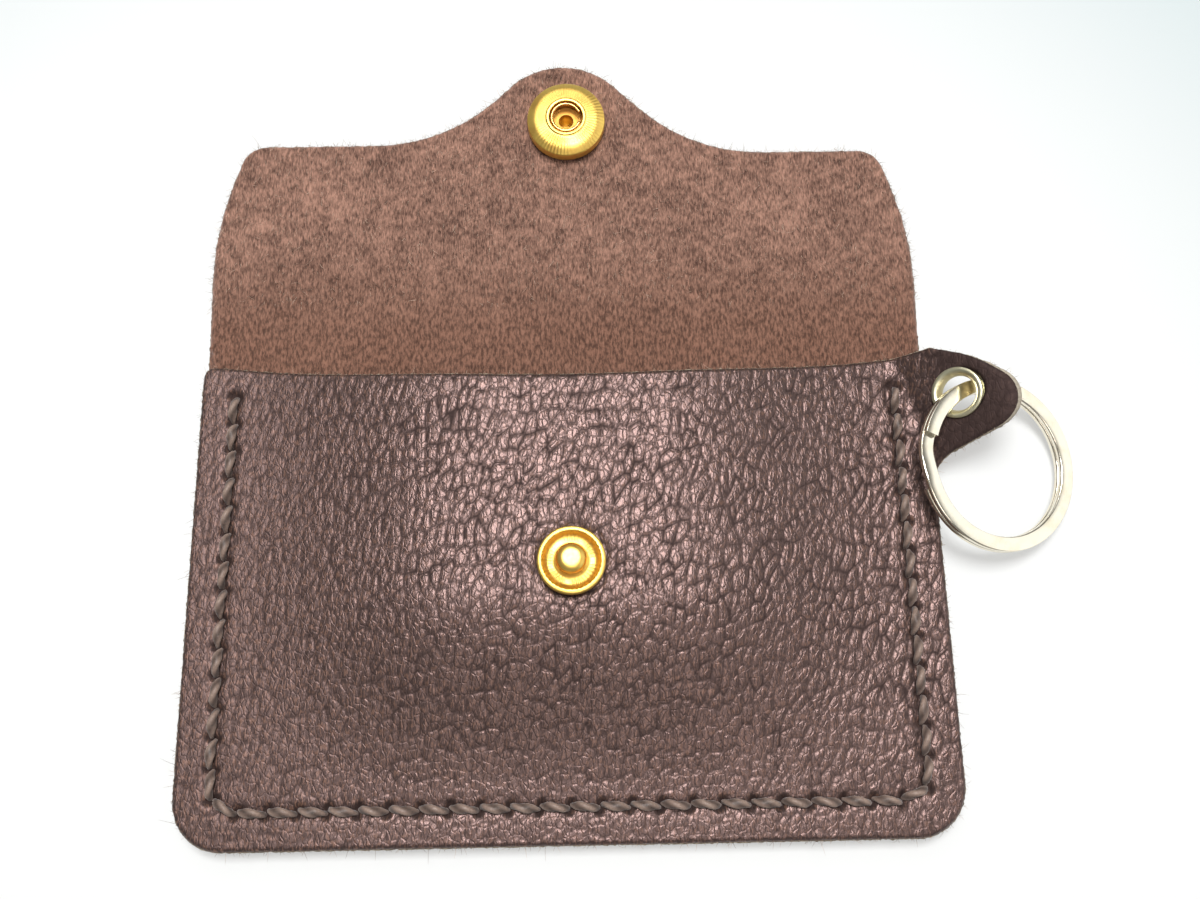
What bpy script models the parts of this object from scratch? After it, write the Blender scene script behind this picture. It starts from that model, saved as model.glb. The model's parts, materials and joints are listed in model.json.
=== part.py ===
"""Keychain card wallet: a hand-stitched leather pocket with a snap flap and a key ring.

The wallet lies open on its back. +X runs to the key ring, +Y to the flap's tip and
+Z out of the table. The origin is the centre of the pocket's back face.
"""
import bpy
import bmesh
import math
from mathutils import Matrix, Vector

MM = 0.001

# Leather and clearances
LEATHER = 1.6 * MM
LAYER_GAP = 0.3 * MM          # between two layers, and across a crease
SEAT_GAP = 0.15 * MM          # between small hardware and what it sits on

# Pocket
POCKET_WIDTH = 100 * MM
POCKET_HEIGHT = 64.2 * MM     # bottom edge to the flap's first crease
CORNER_RADIUS = 6.5 * MM
MOUTH_CORNER_RADIUS = 1.5 * MM
MOUTH_SCOOP = 3.25 * MM       # how far the mouth's edge dips at its middle
CROWN = 4.2 * MM              # how far the front panel swells off the back
CROWN_SIDE_RUN = 32 * MM      # from the seam to the crown's flat middle, sideways
CROWN_FLAT_DROP = 3.2 * MM    # the crown is flat from this far below the stud's centre up

# Seam
SEAM_MARGIN = 4.6 * MM        # stitch line to leather edge
SEAM_CORNER_RADIUS = 3 * MM
SEAM_TOP_DROP = 4.4 * MM      # first hole below the mouth's corner
STITCH_PITCH = 3.8 * MM
THREAD_RADIUS = 0.5 * MM
THREAD_HOLE_RADIUS = 0.35 * MM   # where a slot pinches it
THREAD_BACK_RADIUS = 0.3 * MM    # where the back groove flattens it
THREAD_LIFT = 0.2 * MM        # under a stitch on the front
STITCH_BEND = 0.55 * MM       # run in which a stitch turns down into its slot
STRAND_OFFSET = 0.6 * MM      # each strand from the middle of its slot
SLOT_LENGTH = 2.3 * MM
SLOT_WIDTH = 1.1 * MM
SLOT_SLANT = 20               # degrees off square to the seam
GROOVE_WIDTH = 2.5 * MM
GROOVE_DEPTH = 0.95 * MM

# Flap
TONGUE_REACH = 9.3 * MM       # snap centre to the tongue's tip
SHOULDER_DROP = 3.55 * MM     # snap centre down to the mean shoulder line
SHOULDER_SKEW = 0.9 * MM      # the left shoulder is cut this much higher, the right one lower
TONGUE_ANGLE = 43.5           # degrees, the tongue's flanks from the shoulder line
TONGUE_RADIUS = 10.8 * MM
SHOULDER_RADIUS = 26 * MM
FLAP_CORNER_RADIUS = 3.75 * MM
FLAP_TAPER_ANGLE = 19.5       # degrees, the flap's sides near the corners
FLAP_TAPER_RUN = 12.5 * MM    # shoulder line down to where the sides turn in
FLAP_SIDE_RADIUS = 44 * MM

# Snap
STUD_DROP = 29.2 * MM         # stud centre below the flap's first crease
SNAP_SIDE = 0.6 * MM          # snap centre right of the wallet's middle
CLOSED_SLOPE = 8.2            # degrees the closed flap rises towards its tongue
SNAP_STACK = 4.3 * MM         # leather to leather through the closed snap
PRESSED_EDGE = 0.2 * MM       # rounding on pressed brass
CAP_RADIUS = 6.25 * MM
CAP_HEIGHT = 3 * MM
CAP_RIM = 0.45 * MM           # straight edge under the dome
POST_RADIUS = 1.5 * MM
POST_BORE_RADIUS = 1.0 * MM
POST_FLARE_RADIUS = 2.2 * MM
POST_RISE = 1.05 * MM         # flared end above the suede
SOCKET_RADIUS = 5.6 * MM
SOCKET_HEIGHT = 3.15 * MM
SOCKET_FLOOR = 0.6 * MM
SOCKET_SKIRT = 2.05 * MM      # height of the skirt round the collar
COLLAR_RADIUS = 3.6 * MM
CAVITY_RADIUS = 2.75 * MM
LIP_RADIUS = 2.15 * MM
LIP_THICKNESS = 0.45 * MM
SPRING_WIRE_RADIUS = 0.22 * MM
SPRING_RADIUS = 2.05 * MM
SPRING_HEIGHT = 2.4 * MM      # above the suede
SPRING_MOUTH = 40             # degrees left open
STUD_RADIUS = 4.45 * MM
STUD_RIM_HEIGHT = 1.15 * MM
STUD_DISH = 0.65 * MM         # height of the dish inside the rim
BALL_RADIUS = 1.95 * MM
BALL_HEIGHT = 3.0 * MM
BALL_EQUATOR = 2.45 * MM
BALL_UNDERCUT = 0.4 * MM      # the ball's widest place down to its neck
BALL_WALL = 0.5 * MM          # the ball's widest place down to the rivet's bore
NECK_RADIUS = 1.45 * MM
NECK_FILLET = 0.45 * MM
RIVET_RADIUS = 0.8 * MM
RIVET_FLANGE_RADIUS = 4.0 * MM
RIVET_FLANGE = 0.5 * MM

# Ear: places are (beyond the pocket's side, below the flap's first crease)
EAR_BASE_DROP = 15.6 * MM
EAR_BASE_RADIUS = 4 * MM
EAR_LOW_TIP = (13.8 * MM, 9.7 * MM)
EAR_LOW_TIP_RADIUS = 4.2 * MM
EAR_HIGH_TIP = (5.1 * MM, 2.45 * MM)
EAR_HIGH_TIP_RADIUS = 26 * MM
EAR_FOLD_POINT = (0.3 * MM, 18.2 * MM)   # the ear lifts beyond a slanted line through here
EAR_FOLD_AZIMUTH = 14.4       # degrees, uphill direction of the ear from +X
EAR_FOLD_START = -1.3 * MM
EAR_FOLD_END = 1.6 * MM
EAR_SLOPE = 36                # degrees
EAR_TIP_SLOPE = 16
EAR_TIP_START = 8.6 * MM      # past the fold line, where the slope eases
EAR_TIP_END = 13.0 * MM

# Eyelet and ring
EYELET_AT = (3.7 * MM, 6.95 * MM)
EYELET_THROAT = 2.35 * MM
EYELET_RIM_RADIUS = 3.5 * MM
EYELET_CREST_RADIUS = 3.15 * MM
EYELET_BARREL_RADIUS = 2.95 * MM
EYELET_LIP = 0.3 * MM
RING_RADIUS = 11.9 * MM       # outside
RING_BAND = 2.0 * MM
RING_WIRE = 0.6 * MM          # thickness of one turn
RING_WORN_EDGE = 0.25 * MM
RING_TURN_GAP = 0.42 * MM
RING_TILT = 18.7              # degrees, left side up
RING_TILT_AZIMUTH = -11       # degrees, which way the ring's normal leans
RING_HANG = -63.4             # degrees, from the eyelet to the ring's centre
RING_SETTLE = 0.1 * MM        # the wire's middle off the eyelet's, up and back
RING_JOG_START = 163          # degrees round the ring
RING_JOG_SWEEP = 32
RING_END_GAP = 3

# Smoothness
ARC_STEP = 12                 # degrees a facet on outlines
RING_STEP = 10                # degrees a facet on the ring
SPRING_STEP = 14.5            # degrees a facet on the socket's spring
TURNED_STEPS = 26
DOME_STEPS = 6
BALL_STEPS = 3
EYELET_STEPS = 8
EAR_COLUMN = 1.45 * MM        # grid of the bent ear
EAR_ROW = 3.4 * MM
MOUTH_STEPS = 16


def bottom_up(height):
    """Y of a point given above the pocket's bottom edge."""
    return height - POCKET_HEIGHT / 2


def from_corner(place):
    """XY of a point given beyond the pocket's right side and below the first crease."""
    return POCKET_WIDTH / 2 + place[0], bottom_up(POCKET_HEIGHT) - place[1]


CREASE_Y = bottom_up(POCKET_HEIGHT)
STUD_Y = CREASE_Y - STUD_DROP
FRONT_UNDER = LEATHER + LAYER_GAP
FRONT_TOP = FRONT_UNDER + LEATHER
MOUTH_CORNER_Y = CREASE_Y - LAYER_GAP
SEAM_X = POCKET_WIDTH / 2 - SEAM_MARGIN
SEAM_BOTTOM_Y = bottom_up(SEAM_MARGIN)
SEAM_TOP_Y = MOUTH_CORNER_Y - SEAM_TOP_DROP
MARGIN_X = SEAM_X - STRAND_OFFSET - THREAD_RADIUS          # flat margin's inner edges
MARGIN_Y = SEAM_BOTTOM_Y + STRAND_OFFSET + THREAD_RADIUS
CROWN_FOOT_RUN = STUD_Y - CROWN_FLAT_DROP - MARGIN_Y


def smoothstep(value):
    value = min(max(value, 0.0), 1.0)
    return value * value * (3 - 2 * value)


def smoothstep_area(value):
    """Integral of smoothstep from 0, carried on as a straight line past 1."""
    if value <= 0:
        return 0.0
    if value >= 1:
        return value - 0.5
    return value ** 3 - value ** 4 / 2


def crown_height(x, y):
    """Height of the front panel's underside over the flat margin."""
    side = smoothstep((MARGIN_X - abs(x)) / CROWN_SIDE_RUN)
    foot = smoothstep((y - MARGIN_Y) / CROWN_FOOT_RUN)
    return CROWN * side * foot


def ear_lift(x, y):
    """Lift of the ear beyond its slanted fold line."""
    azimuth = math.radians(EAR_FOLD_AZIMUTH)
    fold_x, fold_y = from_corner(EAR_FOLD_POINT)
    across = (x - fold_x) * math.cos(azimuth) + (y - fold_y) * math.sin(azimuth)
    steep = math.tan(math.radians(EAR_SLOPE))
    eased = math.tan(math.radians(EAR_TIP_SLOPE))
    bend = EAR_FOLD_END - EAR_FOLD_START
    ease = EAR_TIP_END - EAR_TIP_START
    rise = steep * bend * smoothstep_area((across - EAR_FOLD_START) / bend)
    return rise - (steep - eased) * ease * smoothstep_area((across - EAR_TIP_START) / ease)


def front_height(x, y):
    """Underside of the front panel, ear included."""
    return FRONT_UNDER + crown_height(x, y) + ear_lift(x, y)


# The closed snap fixes how long the spine is and how far the snap sits from it.
# The closed flap rises by CLOSED_SLOPE from the spine's far crease to the stud.
# The open flap leans on its cap, so its tilt follows from both lengths, and they
# from the tilt: a few rounds settle them.
def flap_layout(rounds=20):
    """Spine length, snap distance past the spine, rest tilt and fold of one crease."""
    crown_top = FRONT_TOP + crown_height(SNAP_SIDE, STUD_Y)
    drop = crown_top + SNAP_STACK - LEATHER
    reach = STUD_DROP
    slope = math.radians(CLOSED_SLOPE)
    tilt = slope
    for _ in range(rounds):
        lean = (math.pi - slope + tilt) / 2
        turn = math.sin(lean + slope)
        spine = (drop * math.cos(slope) - reach * math.sin(slope)) / turn
        snap = (reach * math.sin(lean) + drop * math.cos(lean)) / turn
        tilt = math.asin((CAP_HEIGHT + 2 * SEAT_GAP) / (spine + snap))
    return spine, snap, tilt, lean - tilt


SPINE_LENGTH, SNAP_REACH, REST_TILT, FOLD_EACH = flap_layout()


def clear_scene():
    for item in list(bpy.data.objects):
        bpy.data.objects.remove(item, do_unlink=True)


def new_collection(name):
    collection = bpy.data.collections.new(name)
    bpy.context.scene.collection.children.link(collection)
    return collection


def material(name, colour, roughness, metallic=0.0):
    finish = bpy.data.materials.new(name)
    finish.use_nodes = True
    shader = finish.node_tree.nodes["Principled BSDF"]
    shader.inputs["Base Color"].default_value = (*colour, 1)
    shader.inputs["Roughness"].default_value = roughness
    shader.inputs["Metallic"].default_value = metallic
    finish.diffuse_color = (*colour, 1)
    return finish


def add(name, data, home, finish=None, parent=None):
    item = bpy.data.objects.new(name, data)
    home.objects.link(item)
    item.parent = parent
    if finish:
        item.data.materials.clear()
        item.data.materials.append(finish)
    return item


def baked(item):
    """Mesh of a curve or of an object with modifiers, its loose caps welded."""
    bpy.context.view_layer.update()
    graph = bpy.context.evaluated_depsgraph_get()
    mesh = bpy.data.meshes.new_from_object(item.evaluated_get(graph))
    shape = bmesh.new()
    shape.from_mesh(mesh)
    bmesh.ops.remove_doubles(shape, verts=shape.verts, dist=0.001 * MM)
    bmesh.ops.recalc_face_normals(shape, faces=shape.faces)
    shape.to_mesh(mesh)
    shape.free()
    mesh.transform(item.matrix_world)
    bpy.data.objects.remove(item, do_unlink=True)
    return mesh


def rounded(corners):
    """Outline through (x, y, radius) corners, each corner an arc of its own radius."""
    outline = []
    count = len(corners)
    for k, (x, y, radius) in enumerate(corners):
        here = Vector((x, y))
        back = (Vector(corners[k - 1][:2]) - here).normalized()
        ahead = (Vector(corners[(k + 1) % count][:2]) - here).normalized()
        if radius == 0:
            outline.append(here)
            continue
        half = back.angle(ahead) / 2
        middle = here + (back + ahead).normalized() * radius / math.sin(half)
        start = here + back * radius / math.tan(half) - middle
        sweep = math.pi - 2 * half
        if back.cross(ahead) > 0:
            sweep = -sweep
        steps = max(2, round(math.degrees(abs(sweep)) / ARC_STEP))
        for step in range(steps + 1):
            turned = start.copy()
            turned.rotate(Matrix.Rotation(sweep * step / steps, 2))
            outline.append(middle + turned)
    return outline


def poly_curve(name, points, radii=None, closed=False):
    curve = bpy.data.curves.new(name, "CURVE")
    spline = curve.splines.new("POLY")
    spline.points.add(len(points) - 1)
    for k, place in enumerate(points):
        spline.points[k].co = (*Vector(place).to_3d(), 1)
        if radii:
            spline.points[k].radius = radii[k]
    spline.use_cyclic_u = closed
    return curve


def prism(name, outline, low, high, home):
    """Mesh of a flat outline made solid between two heights."""
    curve = poly_curve(name, outline, closed=True)
    curve.dimensions = "2D"
    curve.fill_mode = "BOTH"
    curve.extrude = (high - low) / 2
    item = add(name, curve, home)
    item.location.z = (high + low) / 2
    return baked(item)


def turned(name, profile, home, finish=None, closed=True, parent=None, steps=TURNED_STEPS):
    """Profile of (radius, height) turned about Z, outer side listed from the top down."""
    mesh = bpy.data.meshes.new(name)
    edges = [(k, k + 1) for k in range(len(profile) - 1)]
    if closed:
        edges.append((len(profile) - 1, 0))
    mesh.from_pydata([(radius, 0, height) for radius, height in profile], edges, [])
    item = add(name, mesh, home, finish, parent)
    screw = item.modifiers.new("turn", "SCREW")
    screw.steps = steps
    screw.render_steps = steps
    screw.use_merge_vertices = True
    screw.merge_threshold = 0.001 * MM
    screw.use_smooth_shade = True
    return item


def cut(item, cutter, operation="DIFFERENCE"):
    boolean = item.modifiers.new(cutter.name, "BOOLEAN")
    boolean.operation = operation
    boolean.object = cutter
    cutter.hide_render = True
    cutter.display_type = "WIRE"


def seam_route(inset=0.0, overrun=0.0):
    """The seam line from the left mouth corner round to the right one."""
    side = SEAM_X + inset
    foot = SEAM_BOTTOM_Y - inset
    top = SEAM_TOP_Y + overrun
    radius = SEAM_CORNER_RADIUS + inset
    return rounded([(-side, top, 0), (-side, foot, radius), (side, foot, radius), (side, top, 0)])


def seam_holes():
    """Place and direction of every slot, evenly spaced along the seam."""
    route = seam_route()
    lengths = [(b - a).length for a, b in zip(route, route[1:])]
    count = round(sum(lengths) / STITCH_PITCH)
    holes = []
    for k in range(count + 1):
        left = sum(lengths) * k / count
        leg = 0
        while leg < len(lengths) - 1 and left > lengths[leg]:
            left -= lengths[leg]
            leg += 1
        ahead = (route[leg + 1] - route[leg]).normalized()
        holes.append((route[leg] + ahead * left, ahead))
    return holes


def slot_direction(ahead):
    """Long way of a slot: across the seam, slanted a little."""
    return Matrix.Rotation(math.radians(90 - SLOT_SLANT), 2) @ ahead


def slot_cutter(home):
    """Every stitch slot as one cutter."""
    shape = bmesh.new()
    for place, ahead in seam_holes():
        lie = slot_direction(ahead)
        turn = Matrix.Rotation(math.atan2(lie.y, lie.x), 4, "Z")
        size = Matrix.Diagonal((SLOT_LENGTH, SLOT_WIDTH, 4 * FRONT_TOP, 1))
        bmesh.ops.create_cube(shape, size=1, matrix=Matrix.Translation(place.to_3d()) @ turn @ size)
    mesh = bpy.data.meshes.new("stitch_slots")
    shape.to_mesh(mesh)
    shape.free()
    return add("stitch_slots", mesh, home)


def round_cutter(name, radius, depth, home, matrix):
    shape = bmesh.new()
    bmesh.ops.create_cone(shape, cap_ends=True, segments=TURNED_STEPS, radius1=radius,
                          radius2=radius, depth=depth, matrix=matrix)
    mesh = bpy.data.meshes.new(name)
    shape.to_mesh(mesh)
    shape.free()
    return add(name, mesh, home)


def back_panel(parts, cutters, leather, slots):
    half = POCKET_WIDTH / 2
    foot = bottom_up(0)
    top = CREASE_Y - LAYER_GAP / 2
    outline = rounded([(-half, foot, CORNER_RADIUS), (half, foot, CORNER_RADIUS),
                       (half, top, 0), (-half, top, 0)])
    panel = add("back_panel", prism("back_panel", outline, 0, LEATHER, cutters), parts, leather)
    band = GROOVE_WIDTH / 2
    strip = seam_route(band, band) + list(reversed(seam_route(-band, band)))
    groove = add("back_groove", prism("back_groove", strip, -LEATHER, GROOVE_DEPTH, cutters), cutters)
    cut(panel, groove)
    cut(panel, slots)


def front_outline():
    half = POCKET_WIDTH / 2
    foot = bottom_up(0)
    dip = MOUTH_SCOOP
    span = half - MOUTH_CORNER_RADIUS
    radius = (span ** 2 + dip ** 2) / (2 * dip)
    mouth = []
    for k in range(1, MOUTH_STEPS):
        x = span - 2 * span * k / MOUTH_STEPS
        mouth.append((x, MOUTH_CORNER_Y - dip + radius - math.sqrt(radius ** 2 - x ** 2), 0))
    return rounded([(-half, foot, CORNER_RADIUS), (half, foot, CORNER_RADIUS),
                    (half, CREASE_Y - EAR_BASE_DROP, EAR_BASE_RADIUS),
                    (*from_corner(EAR_LOW_TIP), EAR_LOW_TIP_RADIUS),
                    (*from_corner(EAR_HIGH_TIP), EAR_HIGH_TIP_RADIUS),
                    (half, MOUTH_CORNER_Y, 0), *mouth,
                    (-half, MOUTH_CORNER_Y, MOUTH_CORNER_RADIUS)])


def front_stations():
    """Grid lines of the front panel: wide over the pocket, close over the ear."""
    shares = (0, 0.17, 0.35, 0.5, 0.65, 0.83, 1)     # closest where the crown curves most
    spare = LEATHER
    right = [MARGIN_X - CROWN_SIDE_RUN * share for share in shares]
    pocket = sorted([-x for x in right] + right + [0.0])
    tip_x = from_corner(EAR_LOW_TIP)[0]
    ear_x = MARGIN_X + LEATHER
    columns = math.ceil((tip_x - ear_x) / EAR_COLUMN)
    ear = [ear_x + k * EAR_COLUMN for k in range(columns)]
    xs = [-POCKET_WIDTH / 2 - spare, *pocket, *ear, tip_x + spare]
    foot = [MARGIN_Y + CROWN_FOOT_RUN * share for share in shares]
    fold_y = CREASE_Y - EAR_BASE_DROP - EAR_BASE_RADIUS / 2
    rows = math.ceil((CREASE_Y - fold_y) / EAR_ROW)
    fold = [fold_y + k * EAR_ROW for k in range(rows)]
    ys = [bottom_up(-spare), *sorted(foot + fold), CREASE_Y + spare]
    return xs, ys


def front_sheet():
    """The leather sheet before it is cut out: crowned over the pocket, lifted at the ear."""
    xs, ys = front_stations()
    shape = bmesh.new()
    rows = [[shape.verts.new((x, y, front_height(x, y))) for x in xs] for y in ys]
    for low, high in zip(rows, rows[1:]):
        for k in range(len(xs) - 1):
            shape.faces.new((low[k], low[k + 1], high[k + 1], high[k]))
    bmesh.ops.triangulate(shape, faces=shape.faces)
    mesh = bpy.data.meshes.new("front_panel")
    shape.to_mesh(mesh)
    shape.free()
    return mesh


def ear_frame():
    """Matrix at the middle of the leather under the eyelet, Z square to the ear."""
    x, y = from_corner(EYELET_AT)
    step = LEATHER / 8
    rise_x = (front_height(x + step, y) - front_height(x - step, y)) / (2 * step)
    rise_y = (front_height(x, y + step) - front_height(x, y - step)) / (2 * step)
    normal = Vector((-rise_x, -rise_y, 1)).normalized()
    middle = Vector((x, y, front_height(x, y))) + normal * LEATHER / 2
    return Matrix.Translation(middle) @ normal.to_track_quat("Z", "Y").to_matrix().to_4x4()


def front_panel(parts, cutters, leather, slots):
    panel = add("front_panel", front_sheet(), parts, leather)
    thick = panel.modifiers.new("leather", "SOLIDIFY")
    thick.thickness = LEATHER
    thick.offset = 1
    heights = [front_height(*from_corner(tip)) for tip in (EAR_LOW_TIP, EAR_HIGH_TIP)]
    top = max(FRONT_TOP + CROWN, *heights) + 2 * LEATHER
    die = add("front_die", prism("front_die", front_outline(), -LEATHER, top, cutters), cutters)
    cut(panel, die, "INTERSECT")
    cut(panel, slots)
    cut(panel, round_cutter("rivet_hole", RIVET_RADIUS + SEAT_GAP, 6 * LEATHER, cutters, stud_seat()))
    cut(panel, round_cutter("eyelet_hole", EYELET_BARREL_RADIUS + SEAT_GAP, 4 * LEATHER, cutters,
                            ear_frame()))


def saddle_thread(parts, thread):
    """One thread, needled from both ends: two strands that swap sides at every slot."""
    holes = seam_holes()
    last = len(holes) - 1
    over = FRONT_TOP + THREAD_LIFT + THREAD_RADIUS
    under = SEAT_GAP + THREAD_BACK_RADIUS
    top_edge = FRONT_TOP + SEAT_GAP
    low_edge = GROOVE_DEPTH - THREAD_LIFT / 2

    def side(k, sign):
        place, ahead = holes[k]
        return place + slot_direction(ahead) * STRAND_OFFSET * sign

    def stitch(k, on_top):
        """Points and radii of the stitch from slot k to the next."""
        first = side(k, 1 if on_top else -1)
        second = side(k + 1, -1 if on_top else 1)
        ahead = (second - first).normalized() * STITCH_BEND
        edge = top_edge if on_top else low_edge
        run = over if on_top else under
        full = THREAD_RADIUS if on_top else THREAD_BACK_RADIUS
        return [((*first, edge), THREAD_HOLE_RADIUS), ((*(first + ahead), run), full),
                ((*(second - ahead), run), full), ((*second, edge), THREAD_HOLE_RADIUS)]

    first_strand = [point for k in range(last) for point in stitch(k, k % 2 == 0)]
    second_strand = [point for k in range(last) for point in stitch(k, k % 2 == 1)]

    def end(strand):
        """Trimmed end, hidden in the last slot."""
        (x, y, _), radius = strand[-1]
        return ((x, y, FRONT_UNDER), radius)

    route = [end(first_strand)] + first_strand[::-1] + second_strand + [end(second_strand)]
    curve = poly_curve("saddle_thread", [place for place, _ in route],
                       [radius / THREAD_RADIUS for _, radius in route])
    curve.dimensions = "3D"
    curve.bevel_depth = THREAD_RADIUS
    curve.bevel_resolution = 1
    curve.use_fill_caps = True
    add("saddle_thread", curve, parts, thread)
    print("stitches a side:", last)


def stud_seat():
    """Matrix on the front panel's outer face at the stud."""
    return Matrix.Translation((SNAP_SIDE, STUD_Y, FRONT_TOP + crown_height(SNAP_SIDE, STUD_Y)))


def snap_stud(parts, brass):
    edge = PRESSED_EDGE
    rim = STUD_RIM_HEIGHT
    dish = STUD_DISH
    bore = RIVET_RADIUS + SEAT_GAP
    bore_top = BALL_EQUATOR - BALL_WALL
    ball = []
    for k in range(BALL_STEPS + 1):
        angle = math.radians(90 - 90 * k / BALL_STEPS)
        ball.append((BALL_RADIUS * math.cos(angle),
                     BALL_EQUATOR + (BALL_HEIGHT - BALL_EQUATOR) * math.sin(angle)))
    profile = [(0, BALL_HEIGHT), *ball[1:], (NECK_RADIUS, BALL_EQUATOR - BALL_UNDERCUT),
               (NECK_RADIUS, dish + NECK_FILLET), (NECK_RADIUS + NECK_FILLET, dish),
               (STUD_RADIUS - 4 * edge, dish), (STUD_RADIUS - 2 * edge, rim - edge),
               (STUD_RADIUS - edge, rim), (STUD_RADIUS, rim - edge),
               (STUD_RADIUS, SEAT_GAP + 2 * edge), (STUD_RADIUS - 2 * edge, SEAT_GAP),
               (bore, SEAT_GAP), (bore, bore_top), (0, bore_top)]
    stud = turned("snap_stud", profile, parts, brass, closed=False)
    stud.matrix_world = stud_seat()


def stud_post(parts, brass):
    edge = PRESSED_EDGE
    seat = -LEATHER - SEAT_GAP
    top = BALL_EQUATOR - BALL_WALL - SEAT_GAP
    profile = [(0, top), (RIVET_RADIUS - edge, top), (RIVET_RADIUS, top - edge),
               (RIVET_RADIUS, seat), (RIVET_FLANGE_RADIUS, seat),
               (RIVET_FLANGE_RADIUS, seat - edge),
               (RIVET_FLANGE_RADIUS - 3 * edge, seat - RIVET_FLANGE), (0, seat - RIVET_FLANGE)]
    post = turned("stud_post", profile, parts, brass, closed=False)
    post.matrix_world = stud_seat()


def snap_socket(parts, brass, seat, flap):
    edge = PRESSED_EDGE
    top = SOCKET_HEIGHT
    lip = top - LIP_THICKNESS
    skirt = SOCKET_SKIRT
    bore = POST_RADIUS + SEAT_GAP
    profile = [(LIP_RADIUS, lip), (LIP_RADIUS, top - edge), (LIP_RADIUS + edge, top),
               (COLLAR_RADIUS - 2 * edge, top), (COLLAR_RADIUS - edge, top - edge),
               (COLLAR_RADIUS, skirt + edge), (SOCKET_RADIUS - 5 * edge, skirt),
               (SOCKET_RADIUS - edge, skirt - 2 * edge), (SOCKET_RADIUS, skirt - 4 * edge),
               (SOCKET_RADIUS, SEAT_GAP + 2 * edge), (SOCKET_RADIUS - edge, SEAT_GAP),
               (bore, SEAT_GAP), (bore, SOCKET_FLOOR), (CAVITY_RADIUS, SOCKET_FLOOR),
               (CAVITY_RADIUS, lip)]
    socket = turned("snap_socket", profile, parts, brass, parent=flap)
    socket.matrix_local = seat


def socket_spring(parts, brass, seat, flap):
    """An open wire hoop in the socket's cavity, which grips the ball."""
    sweep = 360 - SPRING_MOUTH
    count = round(sweep / SPRING_STEP)
    points = []
    for k in range(count + 1):
        angle = math.radians(SPRING_MOUTH / 2 + sweep * k / count)
        points.append((SPRING_RADIUS * math.cos(angle), SPRING_RADIUS * math.sin(angle),
                       SPRING_HEIGHT))
    curve = poly_curve("socket_spring", points)
    curve.dimensions = "3D"
    curve.bevel_depth = SPRING_WIRE_RADIUS
    curve.bevel_resolution = 1
    curve.use_fill_caps = True
    spring = add("socket_spring", curve, parts, brass, flap)
    spring.matrix_local = seat


def snap_cap(parts, brass, seat, flap):
    """Domed cap under the flap, its post riveted over the socket's floor."""
    edge = PRESSED_EDGE
    face = -LEATHER - SEAT_GAP
    floor = SOCKET_FLOOR + SEAT_GAP
    dome = []
    for k in range(DOME_STEPS):
        angle = math.radians(90 * k / DOME_STEPS)
        dome.append((CAP_RADIUS * math.cos(angle),
                     face - CAP_RIM - (CAP_HEIGHT - CAP_RIM) * math.sin(angle)))
    profile = [(0, face), (POST_BORE_RADIUS, face), (POST_BORE_RADIUS, POST_RISE - edge),
               (POST_BORE_RADIUS + edge, POST_RISE), (POST_FLARE_RADIUS - edge, POST_RISE),
               (POST_FLARE_RADIUS, floor), (POST_RADIUS, floor), (POST_RADIUS, face),
               (CAP_RADIUS - edge, face), *dome, (0, face - CAP_HEIGHT)]
    cap = turned("snap_cap", profile, parts, brass, closed=False, parent=flap)
    cap.matrix_local = seat


def creases():
    """Empties on the two crease axes, with everything past each one parented to it."""
    first = bpy.data.objects.new("crease_1", None)
    second = bpy.data.objects.new("crease_2", None)
    bpy.context.scene.collection.objects.link(first)
    bpy.context.scene.collection.objects.link(second)
    first.matrix_world = Matrix.Translation((0, CREASE_Y, LEATHER)) @ Matrix.Rotation(REST_TILT, 4, "X")
    second.parent = first
    second.location.y = SPINE_LENGTH
    return first, second


def flap_spine(parts, cutters, suede, crease):
    half = POCKET_WIDTH / 2
    low = LAYER_GAP / 2
    high = SPINE_LENGTH - LAYER_GAP / 2
    outline = rounded([(-half, low, 0), (half, low, 0), (half, high, 0), (-half, high, 0)])
    add("flap_spine", prism("flap_spine", outline, -LEATHER, 0, cutters), parts, suede, crease)


def flap_panel(parts, cutters, suede, crease):
    half = POCKET_WIDTH / 2
    low = LAYER_GAP / 2
    tip = SNAP_REACH + TONGUE_REACH
    flank = math.radians(TONGUE_ANGLE)
    apex = tip - TONGUE_RADIUS + TONGUE_RADIUS / math.cos(flank)
    corner = half - FLAP_TAPER_RUN * math.tan(math.radians(FLAP_TAPER_ANGLE))

    def side(sign):
        """Corners from the crease up to the tongue's root, on the right (1) or the left (-1)."""
        shoulder = SNAP_REACH - SHOULDER_DROP - sign * SHOULDER_SKEW
        root = (apex - shoulder) / math.tan(flank)
        return [(sign * half, low, 0), (sign * half, shoulder - FLAP_TAPER_RUN, FLAP_SIDE_RADIUS),
                (sign * corner, shoulder, FLAP_CORNER_RADIUS), (sign * root, shoulder, SHOULDER_RADIUS)]

    outline = rounded([*side(1), (0, apex, TONGUE_RADIUS), *reversed(side(-1))])
    panel = add("flap", prism("flap", outline, -LEATHER, 0, cutters), parts, suede, crease)
    hole = round_cutter("cap_hole", POST_RADIUS + SEAT_GAP, 4 * LEATHER, cutters,
                        Matrix.Translation((SNAP_SIDE, SNAP_REACH, 0)))
    hole.parent = crease
    cut(panel, hole)


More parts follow.
